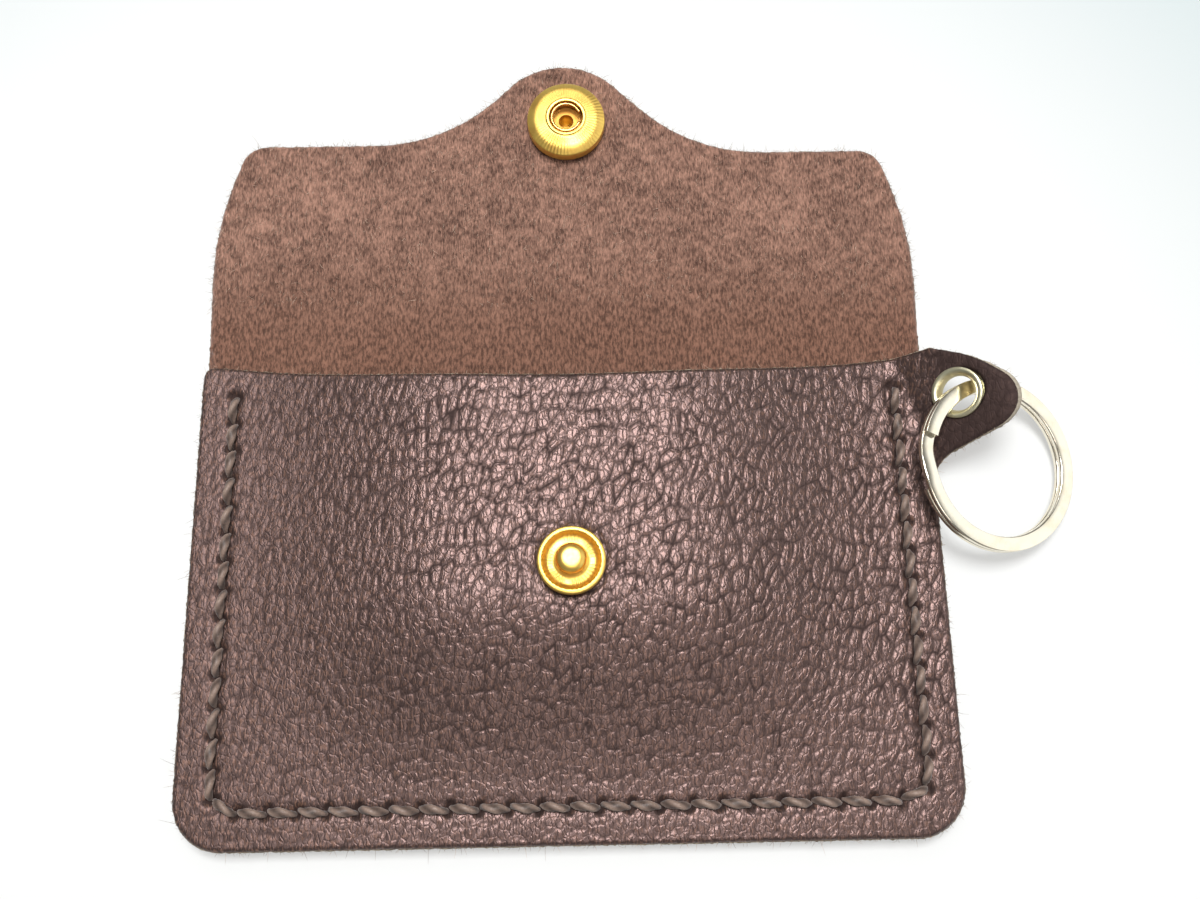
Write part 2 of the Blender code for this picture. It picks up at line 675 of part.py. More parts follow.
def tab_eyelet(parts, nickel):
    """Rolled eyelet: its inner wall is a half ellipse from one crest to the other."""
    face = LEATHER / 2 + SEAT_GAP
    half = face + EYELET_LIP
    edge = face + EYELET_LIP / 3
    reach = EYELET_CREST_RADIUS - EYELET_THROAT
    inner = []
    for k in range(EYELET_STEPS + 1):
        angle = math.radians(-90 - 180 * k / EYELET_STEPS)
        inner.append((EYELET_CREST_RADIUS + reach * math.cos(angle), half * math.sin(angle)))
    profile = [*inner, (EYELET_RIM_RADIUS, edge), (EYELET_RIM_RADIUS, face),
               (EYELET_BARREL_RADIUS, face), (EYELET_BARREL_RADIUS, -face),
               (EYELET_RIM_RADIUS, -face), (EYELET_RIM_RADIUS, -edge)]
    eyelet = turned("tab_eyelet", profile, parts, nickel)
    eyelet.matrix_world = ear_frame()


def ring_pose():
    """Matrix of the ring's centre: it hangs from the eyelet and leans on the table."""
    tilt = math.radians(RING_TILT)
    azimuth = math.radians(RING_TILT_AZIMUTH)
    normal = Vector((math.sin(tilt) * math.cos(azimuth), math.sin(tilt) * math.sin(azimuth),
                     math.cos(tilt)))
    hang = math.radians(RING_HANG)
    flat = Vector((math.cos(hang), math.sin(hang), 0))
    flat.z = -flat.dot(normal) / normal.z
    toward = flat.normalized()
    eye = ear_frame().translation
    centre = eye + toward * (RING_RADIUS - RING_BAND / 2 - RING_SETTLE) + normal * RING_SETTLE
    across = normal.cross(toward)
    turn = Matrix((toward, across, normal)).transposed().to_4x4()
    spin = Matrix.Rotation(-hang, 4, "Z")
    return Matrix.Translation(centre) @ turn @ spin


def ring_points():
    """The wire's middle line: one turn, a jog up, and another turn over it."""
    middle = RING_RADIUS - RING_BAND / 2
    step = RING_WIRE + RING_TURN_GAP
    start = RING_JOG_START + RING_JOG_SWEEP + RING_END_GAP - 360
    stop = RING_JOG_START + 360 - RING_END_GAP
    count = round((stop - start) / RING_STEP)
    points = []
    for k in range(count + 1):
        angle = start + (stop - start) * k / count
        climb = smoothstep((angle - RING_JOG_START) / RING_JOG_SWEEP)
        turn = math.radians(angle)
        points.append(Vector((middle * math.cos(turn), middle * math.sin(turn),
                              step * (climb - 0.5))))
    return points


def split_ring(parts, cutters, nickel):
    band = RING_BAND / 2
    wire = RING_WIRE / 2
    worn = RING_WORN_EDGE
    section = [(-band, wire - worn), (worn - band, wire), (band - worn, wire), (band, wire - worn),
               (band, worn - wire), (band - worn, -wire), (worn - band, -wire), (-band, worn - wire)]
    profile = add("ring_section", poly_curve("ring_section", section, closed=True), cutters)
    profile.hide_render = True
    profile.display_type = "WIRE"
    points = ring_points()
    curve = poly_curve("split_ring", points)
    curve.dimensions = "3D"
    curve.twist_mode = "Z_UP"
    curve.bevel_mode = "OBJECT"
    curve.bevel_object = profile
    curve.use_fill_caps = True
    ring = add("split_ring", curve, parts, nickel)
    ring.matrix_world = ring_pose()
    half_turn = round(180 / RING_STEP)
    least = min((a - b).length for k, a in enumerate(points) for b in points[k + half_turn:])
    print("least gap between the ring's turns, mm:", round((least - RING_WIRE) / MM, 2))


def build():
    clear_scene()
    parts = new_collection("card_wallet")
    cutters = new_collection("cutters")
    grain = material("grain_leather", (0.055, 0.033, 0.030), 0.42)
    back_leather = material("back_leather", (0.060, 0.038, 0.034), 0.5)
    suede = material("suede", (0.165, 0.095, 0.070), 0.95)
    spine_suede = material("spine_suede", (0.130, 0.072, 0.052), 0.95)
    waxed = material("waxed_thread", (0.150, 0.095, 0.072), 0.6)
    brass = material("yellow_brass", (0.80, 0.55, 0.16), 0.28, 1)
    spring_brass = material("spring_brass", (0.62, 0.36, 0.10), 0.3, 1)
    stud_brass = material("stud_brass", (0.82, 0.58, 0.17), 0.26, 1)
    cap_brass = material("cap_brass", (0.78, 0.54, 0.17), 0.24, 1)
    post_brass = material("post_brass", (0.76, 0.52, 0.18), 0.32, 1)
    eyelet_metal = material("eyelet_metal", (0.66, 0.62, 0.42), 0.35, 1)
    ring_metal = material("ring_metal", (0.80, 0.74, 0.58), 0.2, 1)

    slots = slot_cutter(cutters)
    back_panel(parts, cutters, back_leather, slots)
    front_panel(parts, cutters, grain, slots)
    saddle_thread(parts, waxed)
    snap_stud(parts, stud_brass)
    stud_post(parts, post_brass)

    crease_1, crease_2 = creases()
    flap_spine(parts, cutters, spine_suede, crease_1)
    flap_panel(parts, cutters, suede, crease_2)
    snap_seat = Matrix.Translation((SNAP_SIDE, SNAP_REACH, 0))
    snap_cap(parts, cap_brass, snap_seat, crease_2)
    snap_socket(parts, brass, snap_seat, crease_2)
    socket_spring(parts, spring_brass, snap_seat, crease_2)

    tab_eyelet(parts, eyelet_metal)
    split_ring(parts, cutters, ring_metal)

    print("spine", round(SPINE_LENGTH / MM, 3), "snap reach", round(SNAP_REACH / MM, 3),
          "rest tilt", round(math.degrees(REST_TILT), 3), "fold each", round(math.degrees(FOLD_EACH), 3))
    print("crease 2 at rest:", [round(v / MM, 4) for v in
                                (crease_1.matrix_world @ Vector((0, SPINE_LENGTH, 0)))])
    ear = ear_frame()
    print("eyelet centre:", [round(v / MM, 4) for v in ear.translation],
          "axis:", [round(v, 5) for v in ear.col[2][:3]])


build()
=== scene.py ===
# %% [markdown]
# # A keychain card wallet, dressed for its picture
# The wallet is two hides of leather, sewn round three sides with one waxed thread. The long
# hide is the back, folds over at two creases and ends in the flap. The short hide is the
# front, with an ear at its side that holds a brass eyelet and a split ring. The solids come
# from the frame at their real size, and every piece below is made round them.

# %% Load the frame
import json
import math

import bpy
import bmesh
import numpy as np
from mathutils import Matrix, Vector
from mathutils.geometry import delaunay_2d_cdt
from mathutils.kdtree import KDTree


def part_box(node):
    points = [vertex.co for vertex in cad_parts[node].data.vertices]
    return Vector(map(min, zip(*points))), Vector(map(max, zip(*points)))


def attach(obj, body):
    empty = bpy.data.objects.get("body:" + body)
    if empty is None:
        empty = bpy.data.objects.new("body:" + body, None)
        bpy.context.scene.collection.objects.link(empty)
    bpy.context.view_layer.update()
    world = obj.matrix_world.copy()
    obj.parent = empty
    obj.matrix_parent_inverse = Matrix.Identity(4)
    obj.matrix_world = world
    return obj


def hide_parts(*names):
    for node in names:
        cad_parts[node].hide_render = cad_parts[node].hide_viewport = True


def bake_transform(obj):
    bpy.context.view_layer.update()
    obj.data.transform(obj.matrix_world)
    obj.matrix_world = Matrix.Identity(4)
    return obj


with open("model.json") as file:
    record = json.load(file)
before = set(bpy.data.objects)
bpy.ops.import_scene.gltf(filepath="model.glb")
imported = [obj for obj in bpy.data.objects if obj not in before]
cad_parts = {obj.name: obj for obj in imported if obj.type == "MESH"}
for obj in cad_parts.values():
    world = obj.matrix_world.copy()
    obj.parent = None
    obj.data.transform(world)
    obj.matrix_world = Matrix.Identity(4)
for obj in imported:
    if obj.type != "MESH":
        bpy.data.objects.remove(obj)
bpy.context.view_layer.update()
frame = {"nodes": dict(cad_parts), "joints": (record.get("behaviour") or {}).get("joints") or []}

MM = 0.001

# %% [markdown]
# ## Where things are
# All shapes below are worked out in millimetres. The joints say where the two creases and the
# eyelet are, and the boxes of the solids give the pocket's sides and the leather's thickness.
# The snap's socket sits on the tilted flap, so its place is read in the flap's own directions.

# %% Read the places from the frame
joints = {joint["name"]: joint for joint in frame["joints"]}
CREASE_1 = Vector(joints["flap_fold"]["pos_m"]) / MM
CREASE_2 = Vector(joints["flap_fold_far"]["pos_m"]) / MM
EYE = Vector(joints["ring_swing"]["pos_m"]) / MM
EYE_AXIS = Vector(joints["ring_swing"]["axis"])

back_low, back_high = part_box("back_panel")
HALF = back_high.x / MM
FOOT_Y = back_low.y / MM
LEATHER = back_high.z / MM
SPINE = (CREASE_2 - CREASE_1).length
TILT = math.atan2(CREASE_2.z - CREASE_1.z, CREASE_2.y - CREASE_1.y)
FLAP_FRAME = Matrix.Translation(CREASE_2) @ Matrix.Rotation(TILT, 4, "X")


def local_box(node, matrix):
    """Lowest and highest corner of a solid, in mm, in the directions of a matrix."""
    back = matrix.inverted()
    places = np.array([back @ (vertex.co / MM) for vertex in frame["nodes"][node].data.vertices])
    return places.min(0), places.max(0)


socket_low, socket_high = local_box("snap_socket", FLAP_FRAME)
SNAP_SIDE, SNAP_REACH = (socket_low + socket_high)[:2] / 2
stud_low, stud_high = local_box("snap_stud", Matrix.Identity(4))
STUD_X, STUD_Y = (stud_low + stud_high)[:2] / 2
print("leather", round(LEATHER, 2), "spine", round(SPINE, 2), "tilt", round(math.degrees(TILT), 2))
print("snap past the second crease", round(SNAP_REACH, 2), "stud at", round(STUD_X, 2), round(STUD_Y, 2))

# %% [markdown]
# ## The camera
# The picture is taken from close above, so near things look larger than far ones. The place and
# direction were worked out from the outline of the pocket and the flap, which are flat shapes
# of a known size. Making the camera first means that each later piece can be judged in its view.

# %% Camera
CAMERA_AT = Vector((2.8, -23.4, 156.4)) * MM
CAMERA_LOOK = Vector((0.0114, 0.2667, -0.9637)).normalized()
CAMERA_RIGHT = Vector((1.0, -0.019, 0.006))

camera = bpy.data.objects.new("camera", bpy.data.cameras.new("camera"))
bpy.context.scene.collection.objects.link(camera)
camera.data.lens = 35
camera.data.sensor_width = 36
camera.data.clip_start = 0.01
camera_up = CAMERA_RIGHT.cross(CAMERA_LOOK).normalized()
camera_side = CAMERA_LOOK.cross(camera_up)
turn = Matrix((camera_side, camera_up, -CAMERA_LOOK)).transposed().to_4x4()
camera.matrix_world = Matrix.Translation(CAMERA_AT) @ turn
bpy.context.scene.camera = camera
bpy.context.scene.view_settings.view_transform = "Standard"
print("the camera looks down at", round(math.degrees(math.asin(-CAMERA_LOOK.z)), 1), "degrees")

# %% [markdown]
# ## Writing finishes as sums
# A finish is a node tree, and a tree of Math nodes is hard to read. Here a number over a surface
# is wrapped in a small class, so that `0.6 - 0.2 * grain` adds the nodes by itself.

# %% A number over a surface
class Value:
    """One number over a surface. Python sums on it add Math nodes."""

    def __init__(self, nodes, socket):
        self.nodes = nodes
        self.socket = socket

    def __add__(self, other):
        return self.nodes.maths("ADD", self, other)

    def __mul__(self, other):
        return self.nodes.maths("MULTIPLY", self, other)

    def __sub__(self, other):
        return self.nodes.maths("SUBTRACT", self, other)

    def __rsub__(self, other):
        return self.nodes.maths("SUBTRACT", other, self)

    __radd__ = __add__
    __rmul__ = __mul__


# %% [markdown]
# ## One method for every other node
# Adding a node, setting it up and linking it is always the same three steps, so one method does
# them, from the node's kind, its settings and its sockets. The short methods after it name what
# a node is used for. A finish is such a tree with a Principled shader at its end, and the room
# round the table will be another tree.

# %% A tree of nodes, and a finish
class Nodes:
    """The nodes of a material or of the world, added one by one."""

    def __init__(self, tree):
        self.tree = tree

    def node(self, kind, settings=None, sockets=None):
        """A node of a kind: its settings first, then the values or links of its sockets."""
        made = self.tree.nodes.new(kind)
        for name, value in (settings or {}).items():
            setattr(made, name, value)
        for name, value in (sockets or {}).items():
            self.join(value, made.inputs[name])
        return made

    def join(self, value, socket):
        """Writes a value into a socket, or links the socket that it comes from."""
        value = value.socket if isinstance(value, Value) else value
        if isinstance(value, bpy.types.NodeSocket):
            self.tree.links.new(value, socket)
        else:
            socket.default_value = value

    def maths(self, operation, *values):
        made = self.node("ShaderNodeMath", {"operation": operation}, dict(enumerate(values)))
        return Value(self, made.outputs[0])

    def part(self, place, axis):
        """One coordinate of a place."""
        return Value(self, self.node("ShaderNodeSeparateXYZ", {}, {0: place}).outputs[axis])

    def between(self, value, low, high, bottom=0, top=1):
        """The bottom value below low, the top value above high, and a smooth step between."""
        made = self.node("ShaderNodeMapRange", {"interpolation_type": "SMOOTHSTEP"},
                         {"Value": value, "From Min": low, "From Max": high,
                          "To Min": bottom, "To Max": top})
        return Value(self, made.outputs["Result"])

    def mix(self, share, first, second):
        """A colour between two others."""
        ends = [(*end, 1) if isinstance(end, tuple) else end for end in (first, second)]
        made = self.node("ShaderNodeMix", {"data_type": "RGBA"},
                         {0: share, 6: ends[0], 7: ends[1]})
        return made.outputs[2]

    def noise(self, place, scale, detail=2.0, roughness=0.5):
        made = self.node("ShaderNodeTexNoise", {},
                         {"Vector": place, "Scale": scale, "Detail": detail, "Roughness": roughness})
        return Value(self, made.outputs["Fac"])

    def cracks(self, place, scale, low, high):
        """A net of fine cracks: 0 in a crack and 1 between them. Its lines wander a little."""
        drift = self.node("ShaderNodeTexNoise", {}, {"Vector": place, "Scale": 0.6, "Detail": 2.0})
        shifted = self.node("ShaderNodeVectorMath", {"operation": "MULTIPLY_ADD"},
                            {0: drift.outputs["Color"], 1: (0.9, 0.9, 0), 2: place})
        stretched = self.node("ShaderNodeVectorMath", {"operation": "MULTIPLY"},
                              {0: shifted.outputs[0], 1: scale})
        net = self.node("ShaderNodeTexVoronoi",
                        {"feature": "DISTANCE_TO_EDGE", "voronoi_dimensions": "2D"},
                        {"Vector": stretched.outputs[0], "Scale": 1.0})
        return self.between(net.outputs["Distance"], low, high)


class Finish(Nodes):
    """A material being made, with its Principled shader."""

    def __init__(self, name, **even):
        self.material = bpy.data.materials.new(name)
        self.material.use_nodes = True
        super().__init__(self.material.node_tree)
        self.shader = self.tree.nodes["Principled BSDF"]
        self.surface(**even)

    def surface(self, **sockets):
        """Fills sockets of the shader, and gives the material back."""
        for socket, value in sockets.items():
            self.join(value, self.shader.inputs[socket.replace("_", " ")])
        return self.material

    def attribute(self, name):
        """A number stored on the mesh's points."""
        return Value(self, self.node("ShaderNodeAttribute", {"attribute_name": name}).outputs["Fac"])

    def place(self, scale=(1, 1, 1)):
        """Where a point lies on the flat leather, in mm, stretched by a scale."""
        read = self.node("ShaderNodeAttribute", {"attribute_name": "flat"}).outputs["Vector"]
        made = self.node("ShaderNodeVectorMath", {"operation": "MULTIPLY"}, {0: read, 1: scale})
        return made.outputs[0]

    def bump(self, height, depth):
        """Fine relief, with its depth in mm, fed to the shader's normal."""
        made = self.node("ShaderNodeBump", {}, {"Height": height, "Distance": depth * MM})
        self.join(made.outputs["Normal"], self.shader.inputs["Normal"])


# %% [markdown]
# ## The grain side
# The outer side of the hide is a dark chocolate pebbled grain. The pebbles are real relief in the mesh
# further down, which stores how high each point stands in them. The finish uses that: the valleys are
# painted darker, as painted shade, and are duller, and the tops are rubbed a little shiny. A net of
# wrinkles and pores, finer than the mesh can hold, is bump, and the wrinkles are painted darker too, as
# painted shade. Copper glints are painted on the tops as painted highlights, most of all on the left,
# which is painted darker, as painted shade, and is rougher, so it shines less. The sheen of the real
# grain is slightly pink, so its highlight is too.

# %% Grain finish
DULL_SHADE_FROM, DULL_SHADE_TO = -46, -14     # mm from the middle: the stretch on the left that is rougher and painted darker, as painted shade


def grain_finish(name, valley, top, copper):
    finish = Finish(name, IOR=1.6, Specular_IOR_Level=0.62, Specular_Tint=(1.0, 0.68, 0.63, 1))
    flat = finish.place()
    patches = finish.noise(flat, 0.09, 3)
    pores = finish.noise(finish.place((6.5, 2.2, 1)), 1.0, 3)
    wrinkles = finish.cracks(flat, (1.5, 0.85, 1), -0.05, 0.2)
    dull_and_painted_shade = 1 - finish.between(finish.part(flat, "X"), DULL_SHADE_FROM, DULL_SHADE_TO)
    # The mark is low in the valleys and in the fine wrinkles, which take the dark first colour: painted
    # shade.
    top_share = finish.between(finish.attribute("grain"), 0.06, 0.85)
    stand = top_share * (0.8 + 0.2 * wrinkles) + 0.24 * pores - 0.12
    # On the left the colour is painted darker, as painted shade, and the finish is rougher.
    stand = stand * (1 - 0.3 * dull_and_painted_shade)
    # Copper glints on the pebble tops, most of them on the left: painted highlights.
    painted_glints = finish.between(finish.noise(finish.place((4.6, 1.2, 1)), 1.0, 2, 0.6), 0.51, 0.60)
    colour = finish.mix(stand, valley, top)
    colour = finish.mix(painted_glints * stand * (0.3 + 0.4 * patches + 0.5 * dull_and_painted_shade), colour, copper)
    finish.bump(0.5 * wrinkles + 0.5 * pores, 0.06)
    return finish.surface(Base_Color=colour, Roughness=0.80 - 0.51 * stand)


# The three colours: painted shade for the valleys, the tops' own colour, and painted highlights for the
# copper glints.
GRAIN = grain_finish("grain", (0.003, 0.002, 0.002), (0.032, 0.022, 0.020), (0.165, 0.090, 0.062))
BACK_GRAIN = grain_finish("back_grain", (0.014, 0.009, 0.008), (0.058, 0.036, 0.032),
                          (0.084, 0.049, 0.040))
print("grain finishes:", GRAIN.name, BACK_GRAIN.name)

# %% [markdown]
# ## The suede side
# The inner side of the same hide is suede: no shine, a nap of short fibres, and a colour that wanders as
# the nap lies this way or that. It is warmer and darker near the fold. Four noises do it: wide clouds,
# brushed patches, tufts of nap and fibres drawn out along the hide. A soft sheen stands for the light in
# the nap.

# %% Suede finish
FOLD_TONE_FROM, FOLD_TONE_TO = -4, 14     # mm past the second crease, where the warm tone ends


def suede_finish(name, dark, light, warm):
    finish = Finish(name, Roughness=0.95, Specular_IOR_Level=0.15, Sheen_Weight=0.35,
                    Sheen_Roughness=0.5, Sheen_Tint=(1.0, 0.82, 0.76, 1))
    flat = finish.place()
    clouds = finish.noise(flat, 0.07, 3)
    patches = finish.noise(flat, 0.45, 3)
    nap = finish.noise(finish.place((2.7, 1.0, 1)), 1.0, 4, 0.65)
    streaks = finish.noise(finish.place((7.0, 1.3, 1)), 1.0, 2, 0.6)
    shade = 0.12 * clouds + 0.20 * patches + 0.36 * nap + 0.32 * streaks
    colour = finish.mix(finish.between(shade, 0.37, 0.67), dark, light)
    fold = 1 - finish.between(finish.part(flat, "Y"), SPINE + FOLD_TONE_FROM, SPINE + FOLD_TONE_TO)
    fold_tone = finish.mix(finish.between(nap, 0.36, 0.64), tuple(0.3 * c for c in warm), warm)
    colour = finish.mix(fold * 0.8, colour, fold_tone)
    finish.bump(0.55 * nap + 0.45 * streaks, 0.22)
    return finish.surface(Base_Color=colour)


SUEDE = suede_finish("suede", (0.060, 0.030, 0.022), (0.40, 0.224, 0.163), (0.205, 0.101, 0.067))
print("suede finish:", SUEDE.name)

# %% [markdown]
# ## The cut edge
# Where the hide is cut, its raw fibres show: paler than either side and quite rough. The dye has
# stained them in places, and at the ear's end, where it is cut thin, they are barest. The walls
# of each leather piece get this finish, and loose fibres are laid over them later.

# %% Cut edge finish
BARE_FROM, BARE_TO = HALF + 4, HALF + 9     # across the ear


def cut_finish():
    finish = Finish("cut_edge", Roughness=0.95, Specular_IOR_Level=0.15)
    flat = finish.place()
    fibre = finish.noise(finish.place((3, 3, 6)), 1.0, 3, 0.7)
    colour = finish.mix(finish.between(fibre, 0.35, 0.65), (0.17, 0.125, 0.085), (0.52, 0.45, 0.33))
    bare = finish.between(finish.part(flat, "X"), BARE_FROM, BARE_TO)
    stain = finish.noise(flat, 0.3, 2)
    colour = finish.mix(stain * 0.4 * (1 - bare), colour, (0.07, 0.045, 0.038))
    finish.bump(fibre, 0.2)
    return finish.surface(Base_Color=finish.mix(bare * 0.7, colour, (0.42, 0.38, 0.31)))


CUT_EDGE = cut_finish()
print("cut edge finish:", CUT_EDGE.name)

# %% [markdown]
# ## Outlines
# Each hide is cut from a flat pattern. An outline is a list of corners, each with the radius of
# its arc, and is then stepped out into even points, because the mesh wants points of one size.

# %% Outlines from rounded corners
def rounded(corners, arc_step=6):
    """Points through (x, y, radius) corners, each corner an arc of its own radius."""
    outline = []
    count = len(corners)
    for k, (x, y, radius) in enumerate(corners):
        here = Vector((x, y))
        if radius == 0:
            outline.append(here)
            continue
        back = (Vector(corners[k - 1][:2]) - here).normalized()
        ahead = (Vector(corners[(k + 1) % count][:2]) - here).normalized()
        half = back.angle(ahead) / 2
        middle = here + (back + ahead).normalized() * radius / math.sin(half)
        start = here + back * radius / math.tan(half) - middle
        sweep = (math.pi - 2 * half) * (-1 if back.cross(ahead) > 0 else 1)
        steps = max(2, round(math.degrees(abs(sweep)) / arc_step))
        for step in range(steps + 1):
            outline.append(middle + Matrix.Rotation(sweep * step / steps, 2) @ start)
    return np.array([tuple(point) for point in outline])


def evenly(points, step, closed=True):
    """The same line in even steps."""
    line = np.vstack([points, points[:1]]) if closed else np.array(points, float)
    run = np.concatenate([[0], np.cumsum(np.linalg.norm(np.diff(line, axis=0), axis=1))])
    count = max(3, round(run[-1] / step))
    at = np.linspace(0, run[-1], count + 1)[:-1] if closed else np.linspace(0, run[-1], count + 1)
    return np.column_stack([np.interp(at, run, line[:, k]) for k in range(line.shape[1])])


def circle(x, y, radius, step):
    """A hole, its points the other way round than an outline's."""
    count = max(12, round(2 * math.pi * radius / step))
    angles = -np.linspace(0, 2 * math.pi, count, endpoint=False)
    return np.column_stack([x + radius * np.cos(angles), y + radius * np.sin(angles)])


print("a 1 mm hole in steps of 0.3 mm has", len(circle(0, 0, 1, 0.3)), "points")

# %% [markdown]
# ## Which points lie inside
# A point lies inside an outline if a straight line from it crosses the outline an odd number of
# times. A grid can be asked row by row, which is quick. Scattered points are asked one by one.

# %% Inside or outside an outline
def edges_of(loops):
    """Start and end of each edge of the outlines."""
    return np.vstack(loops), np.vstack([np.roll(loop, -1, axis=0) for loop in loops])


def grid_inside(loops, xs, ys):
    """For each row of a grid, which of its points lie inside the outlines."""
    starts, ends = edges_of(loops)
    inside = np.zeros((len(ys), len(xs)), bool)
    for row, y in enumerate(ys):
        crossed = (starts[:, 1] <= y) != (ends[:, 1] <= y)
        a, b = starts[crossed], ends[crossed]
        cuts = np.sort(a[:, 0] + (y - a[:, 1]) * (b[:, 0] - a[:, 0]) / (b[:, 1] - a[:, 1]))
        inside[row] = np.searchsorted(cuts, xs) % 2 == 1
    return inside


def points_inside(loops, points):
    """Which of the points lie inside the outlines."""
    starts, ends = edges_of(loops)
    level = points[:, 1:2]
    crossed = (starts[:, 1] <= level) != (ends[:, 1] <= level)
    rise = np.where(ends[:, 1] == starts[:, 1], 1, ends[:, 1] - starts[:, 1])
    slope = (ends[:, 0] - starts[:, 0]) / rise
    left = starts[:, 0] + (level - starts[:, 1]) * slope < points[:, :1]
    return (crossed & left).sum(1) % 2 == 1


unit_square = rounded([(-1, -1, 0), (1, -1, 0), (1, 1, 0), (-1, 1, 0)])
print("inside a square:", points_inside([unit_square], np.array([(0.0, 0.5), (2.0, 0.5)])))

# %% [markdown]
# ## Filling an outline
# A grid of squares fills the middle, which keeps the fine relief even. Between the grid and the
# outline lies a narrow band, and a Delaunay triangulation joins the two there. Blender offers
# one, and it is only asked for the band, because it is slow on many points.

# %% Fill an outline with even faces
GRID_CLEAR = 0.6            # the grid keeps this share of a step off the outline


def nearest(points, spots):
    """Distance from each point to the nearest spot."""
    tree = KDTree(len(spots))
    for k, spot in enumerate(spots):
        tree.insert((*spot, 0), k)
    tree.balance()
    return np.array([tree.find((*point, 0))[2] for point in points])


def fill(loops, step):
    """Points, squares and triangles inside outlines. The outlines' own points come first."""
    rim = np.vstack(loops)
    low, high = rim.min(0), rim.max(0)
    # Grid points well inside are kept, and those with all four corners kept make a square.
    xs = np.arange(low[0] + step / 2, high[0], step)
    ys = np.arange(low[1] + step / 2, high[1], step)
    grid_x, grid_y = np.meshgrid(xs, ys)
    kept = grid_inside(loops, xs, ys)
    clear = nearest(np.column_stack([grid_x[kept], grid_y[kept]]), rim)
    kept[kept] = clear > GRID_CLEAR * step
    number = np.full(kept.shape, -1)
    number[kept] = len(rim) + np.arange(kept.sum())
    full = kept[:-1, :-1] & kept[:-1, 1:] & kept[1:, :-1] & kept[1:, 1:]
    squares = np.column_stack([number[:-1, :-1][full], number[:-1, 1:][full],
                               number[1:, 1:][full], number[1:, :-1][full]])
    # Deep points have squares all round. The squares' outer sides are the band's inner walls.
    ringed = np.pad(full, 1)
    deep = ringed[:-1, :-1] & ringed[:-1, 1:] & ringed[1:, :-1] & ringed[1:, 1:]
    across = kept[:, :-1] & kept[:, 1:] & (ringed[:-1, 1:-1] != ringed[1:, 1:-1])
    upward = kept[:-1, :] & kept[1:, :] & (ringed[1:-1, :-1] != ringed[1:-1, 1:])
    walls = np.vstack([np.column_stack([number[:, :-1][across], number[:, 1:][across]]),
                       np.column_stack([number[:-1, :][upward], number[1:, :][upward]])])
    points = np.vstack([rim, np.column_stack([grid_x[kept], grid_y[kept]])])
    band = np.concatenate([np.arange(len(rim)), number[kept & ~deep]])
    place_in_band = np.full(len(points), -1)
    place_in_band[band] = np.arange(len(band))
    # The triangulation of the band keeps the outlines' edges and these walls.
    edges = []
    first = 0
    for loop in loops:
        ids = first + np.arange(len(loop))
        edges += list(zip(ids, np.roll(ids, -1)))
        first += len(loop)
    edges = [(int(a), int(b)) for a, b in edges]
    edges += [(int(place_in_band[a]), int(place_in_band[b])) for a, b in walls]
    made = delaunay_2d_cdt([Vector(points[k]) for k in band], edges, [], 0, 1e-7, True)
    source = np.array([origin[0] for origin in made[3]])
    corners = band[source[np.array(made[2])]]
    # Triangles outside, in a hole or on a square are left out again.
    middles = points[corners].mean(1)
    column = np.floor((middles[:, 0] - xs[0]) / step).astype(int)
    row = np.floor((middles[:, 1] - ys[0]) / step).astype(int)
    on_grid = (row >= 0) & (column >= 0) & (row < full.shape[0]) & (column < full.shape[1])
    in_square = np.zeros(len(middles), bool)
    in_square[on_grid] = full[row[on_grid], column[on_grid]]
    return points, squares, corners[points_inside(loops, middles) & ~in_square]


trial = fill([evenly(unit_square, 0.3)], 0.3)
print("a square of 2 mm is filled with", len(trial[1]), "squares and", len(trial[2]), "triangles")

# %% [markdown]
# ## From arrays to an object
# Blender can take a whole mesh at once from arrays, which is much quicker than adding faces one
# by one. Each list of faces comes with its finish, and numbers that the finishes read, such as
# the height of the grain, are stored on the points under a name.

# %% Make an object from arrays
def new_object(name, points, faces, finishes, marks=None):
    """An object from points in mm and lists of faces, with one finish for each list."""
    corners = np.concatenate([group.ravel() for group in faces]).astype(np.int32)
    sizes = np.concatenate([np.full(len(group), group.shape[1]) for group in faces])
    mesh = bpy.data.meshes.new(name)
    mesh.vertices.add(len(points))
    mesh.vertices.foreach_set("co", (np.asarray(points) * MM).astype(np.float32).ravel())
    mesh.loops.add(len(corners))
    mesh.loops.foreach_set("vertex_index", corners)
    mesh.polygons.add(len(sizes))
    mesh.polygons.foreach_set("loop_start", (np.cumsum(sizes) - sizes).astype(np.int32))
    kinds = []
    for finish in finishes:
        if finish not in kinds:
            kinds.append(finish)
            mesh.materials.append(finish)
    slots = np.concatenate([np.full(len(group), kinds.index(finish))
                            for group, finish in zip(faces, finishes)])
    mesh.polygons.foreach_set("material_index", slots.astype(np.int32))
    mesh.update(calc_edges=True)
    for mark, values in (marks or {}).items():
        kind = "FLOAT" if values.ndim == 1 else "FLOAT_VECTOR"
        stored = mesh.attributes.new(mark, kind, "POINT")
        stored.data.foreach_set("value" if values.ndim == 1 else "vector",
                                values.astype(np.float32).ravel())
    mesh.validate()
    mesh.shade_smooth()
    made = bpy.data.objects.new(name, mesh)
    bpy.context.scene.collection.objects.link(made)
    print(name, "has", len(points), "points and", len(mesh.polygons), "faces")
    return made


# %% [markdown]
# ## One leather piece
# A hide has two faces and a cut wall round its outline. Both faces are filled from the same
# outline, the side that shows with small squares and the other with larger ones. The wall joins
# them in a few rows that swell a little, and both faces round off towards it, as cut leather
# does. Where a point lies on the flat pattern is stored with it, so that grain and nap follow
# the leather when it bends.

# %% A hide with two faces and a wall
EDGE_ROUND = 0.45
WALL_ROWS = (0.2, 0.4, 0.6, 0.8)
WALL_SWELL = 0.10
WALL_ROUGH = 0.05
LEATHER_SHARP = math.radians(70)     # faces that meet at more than this show an edge


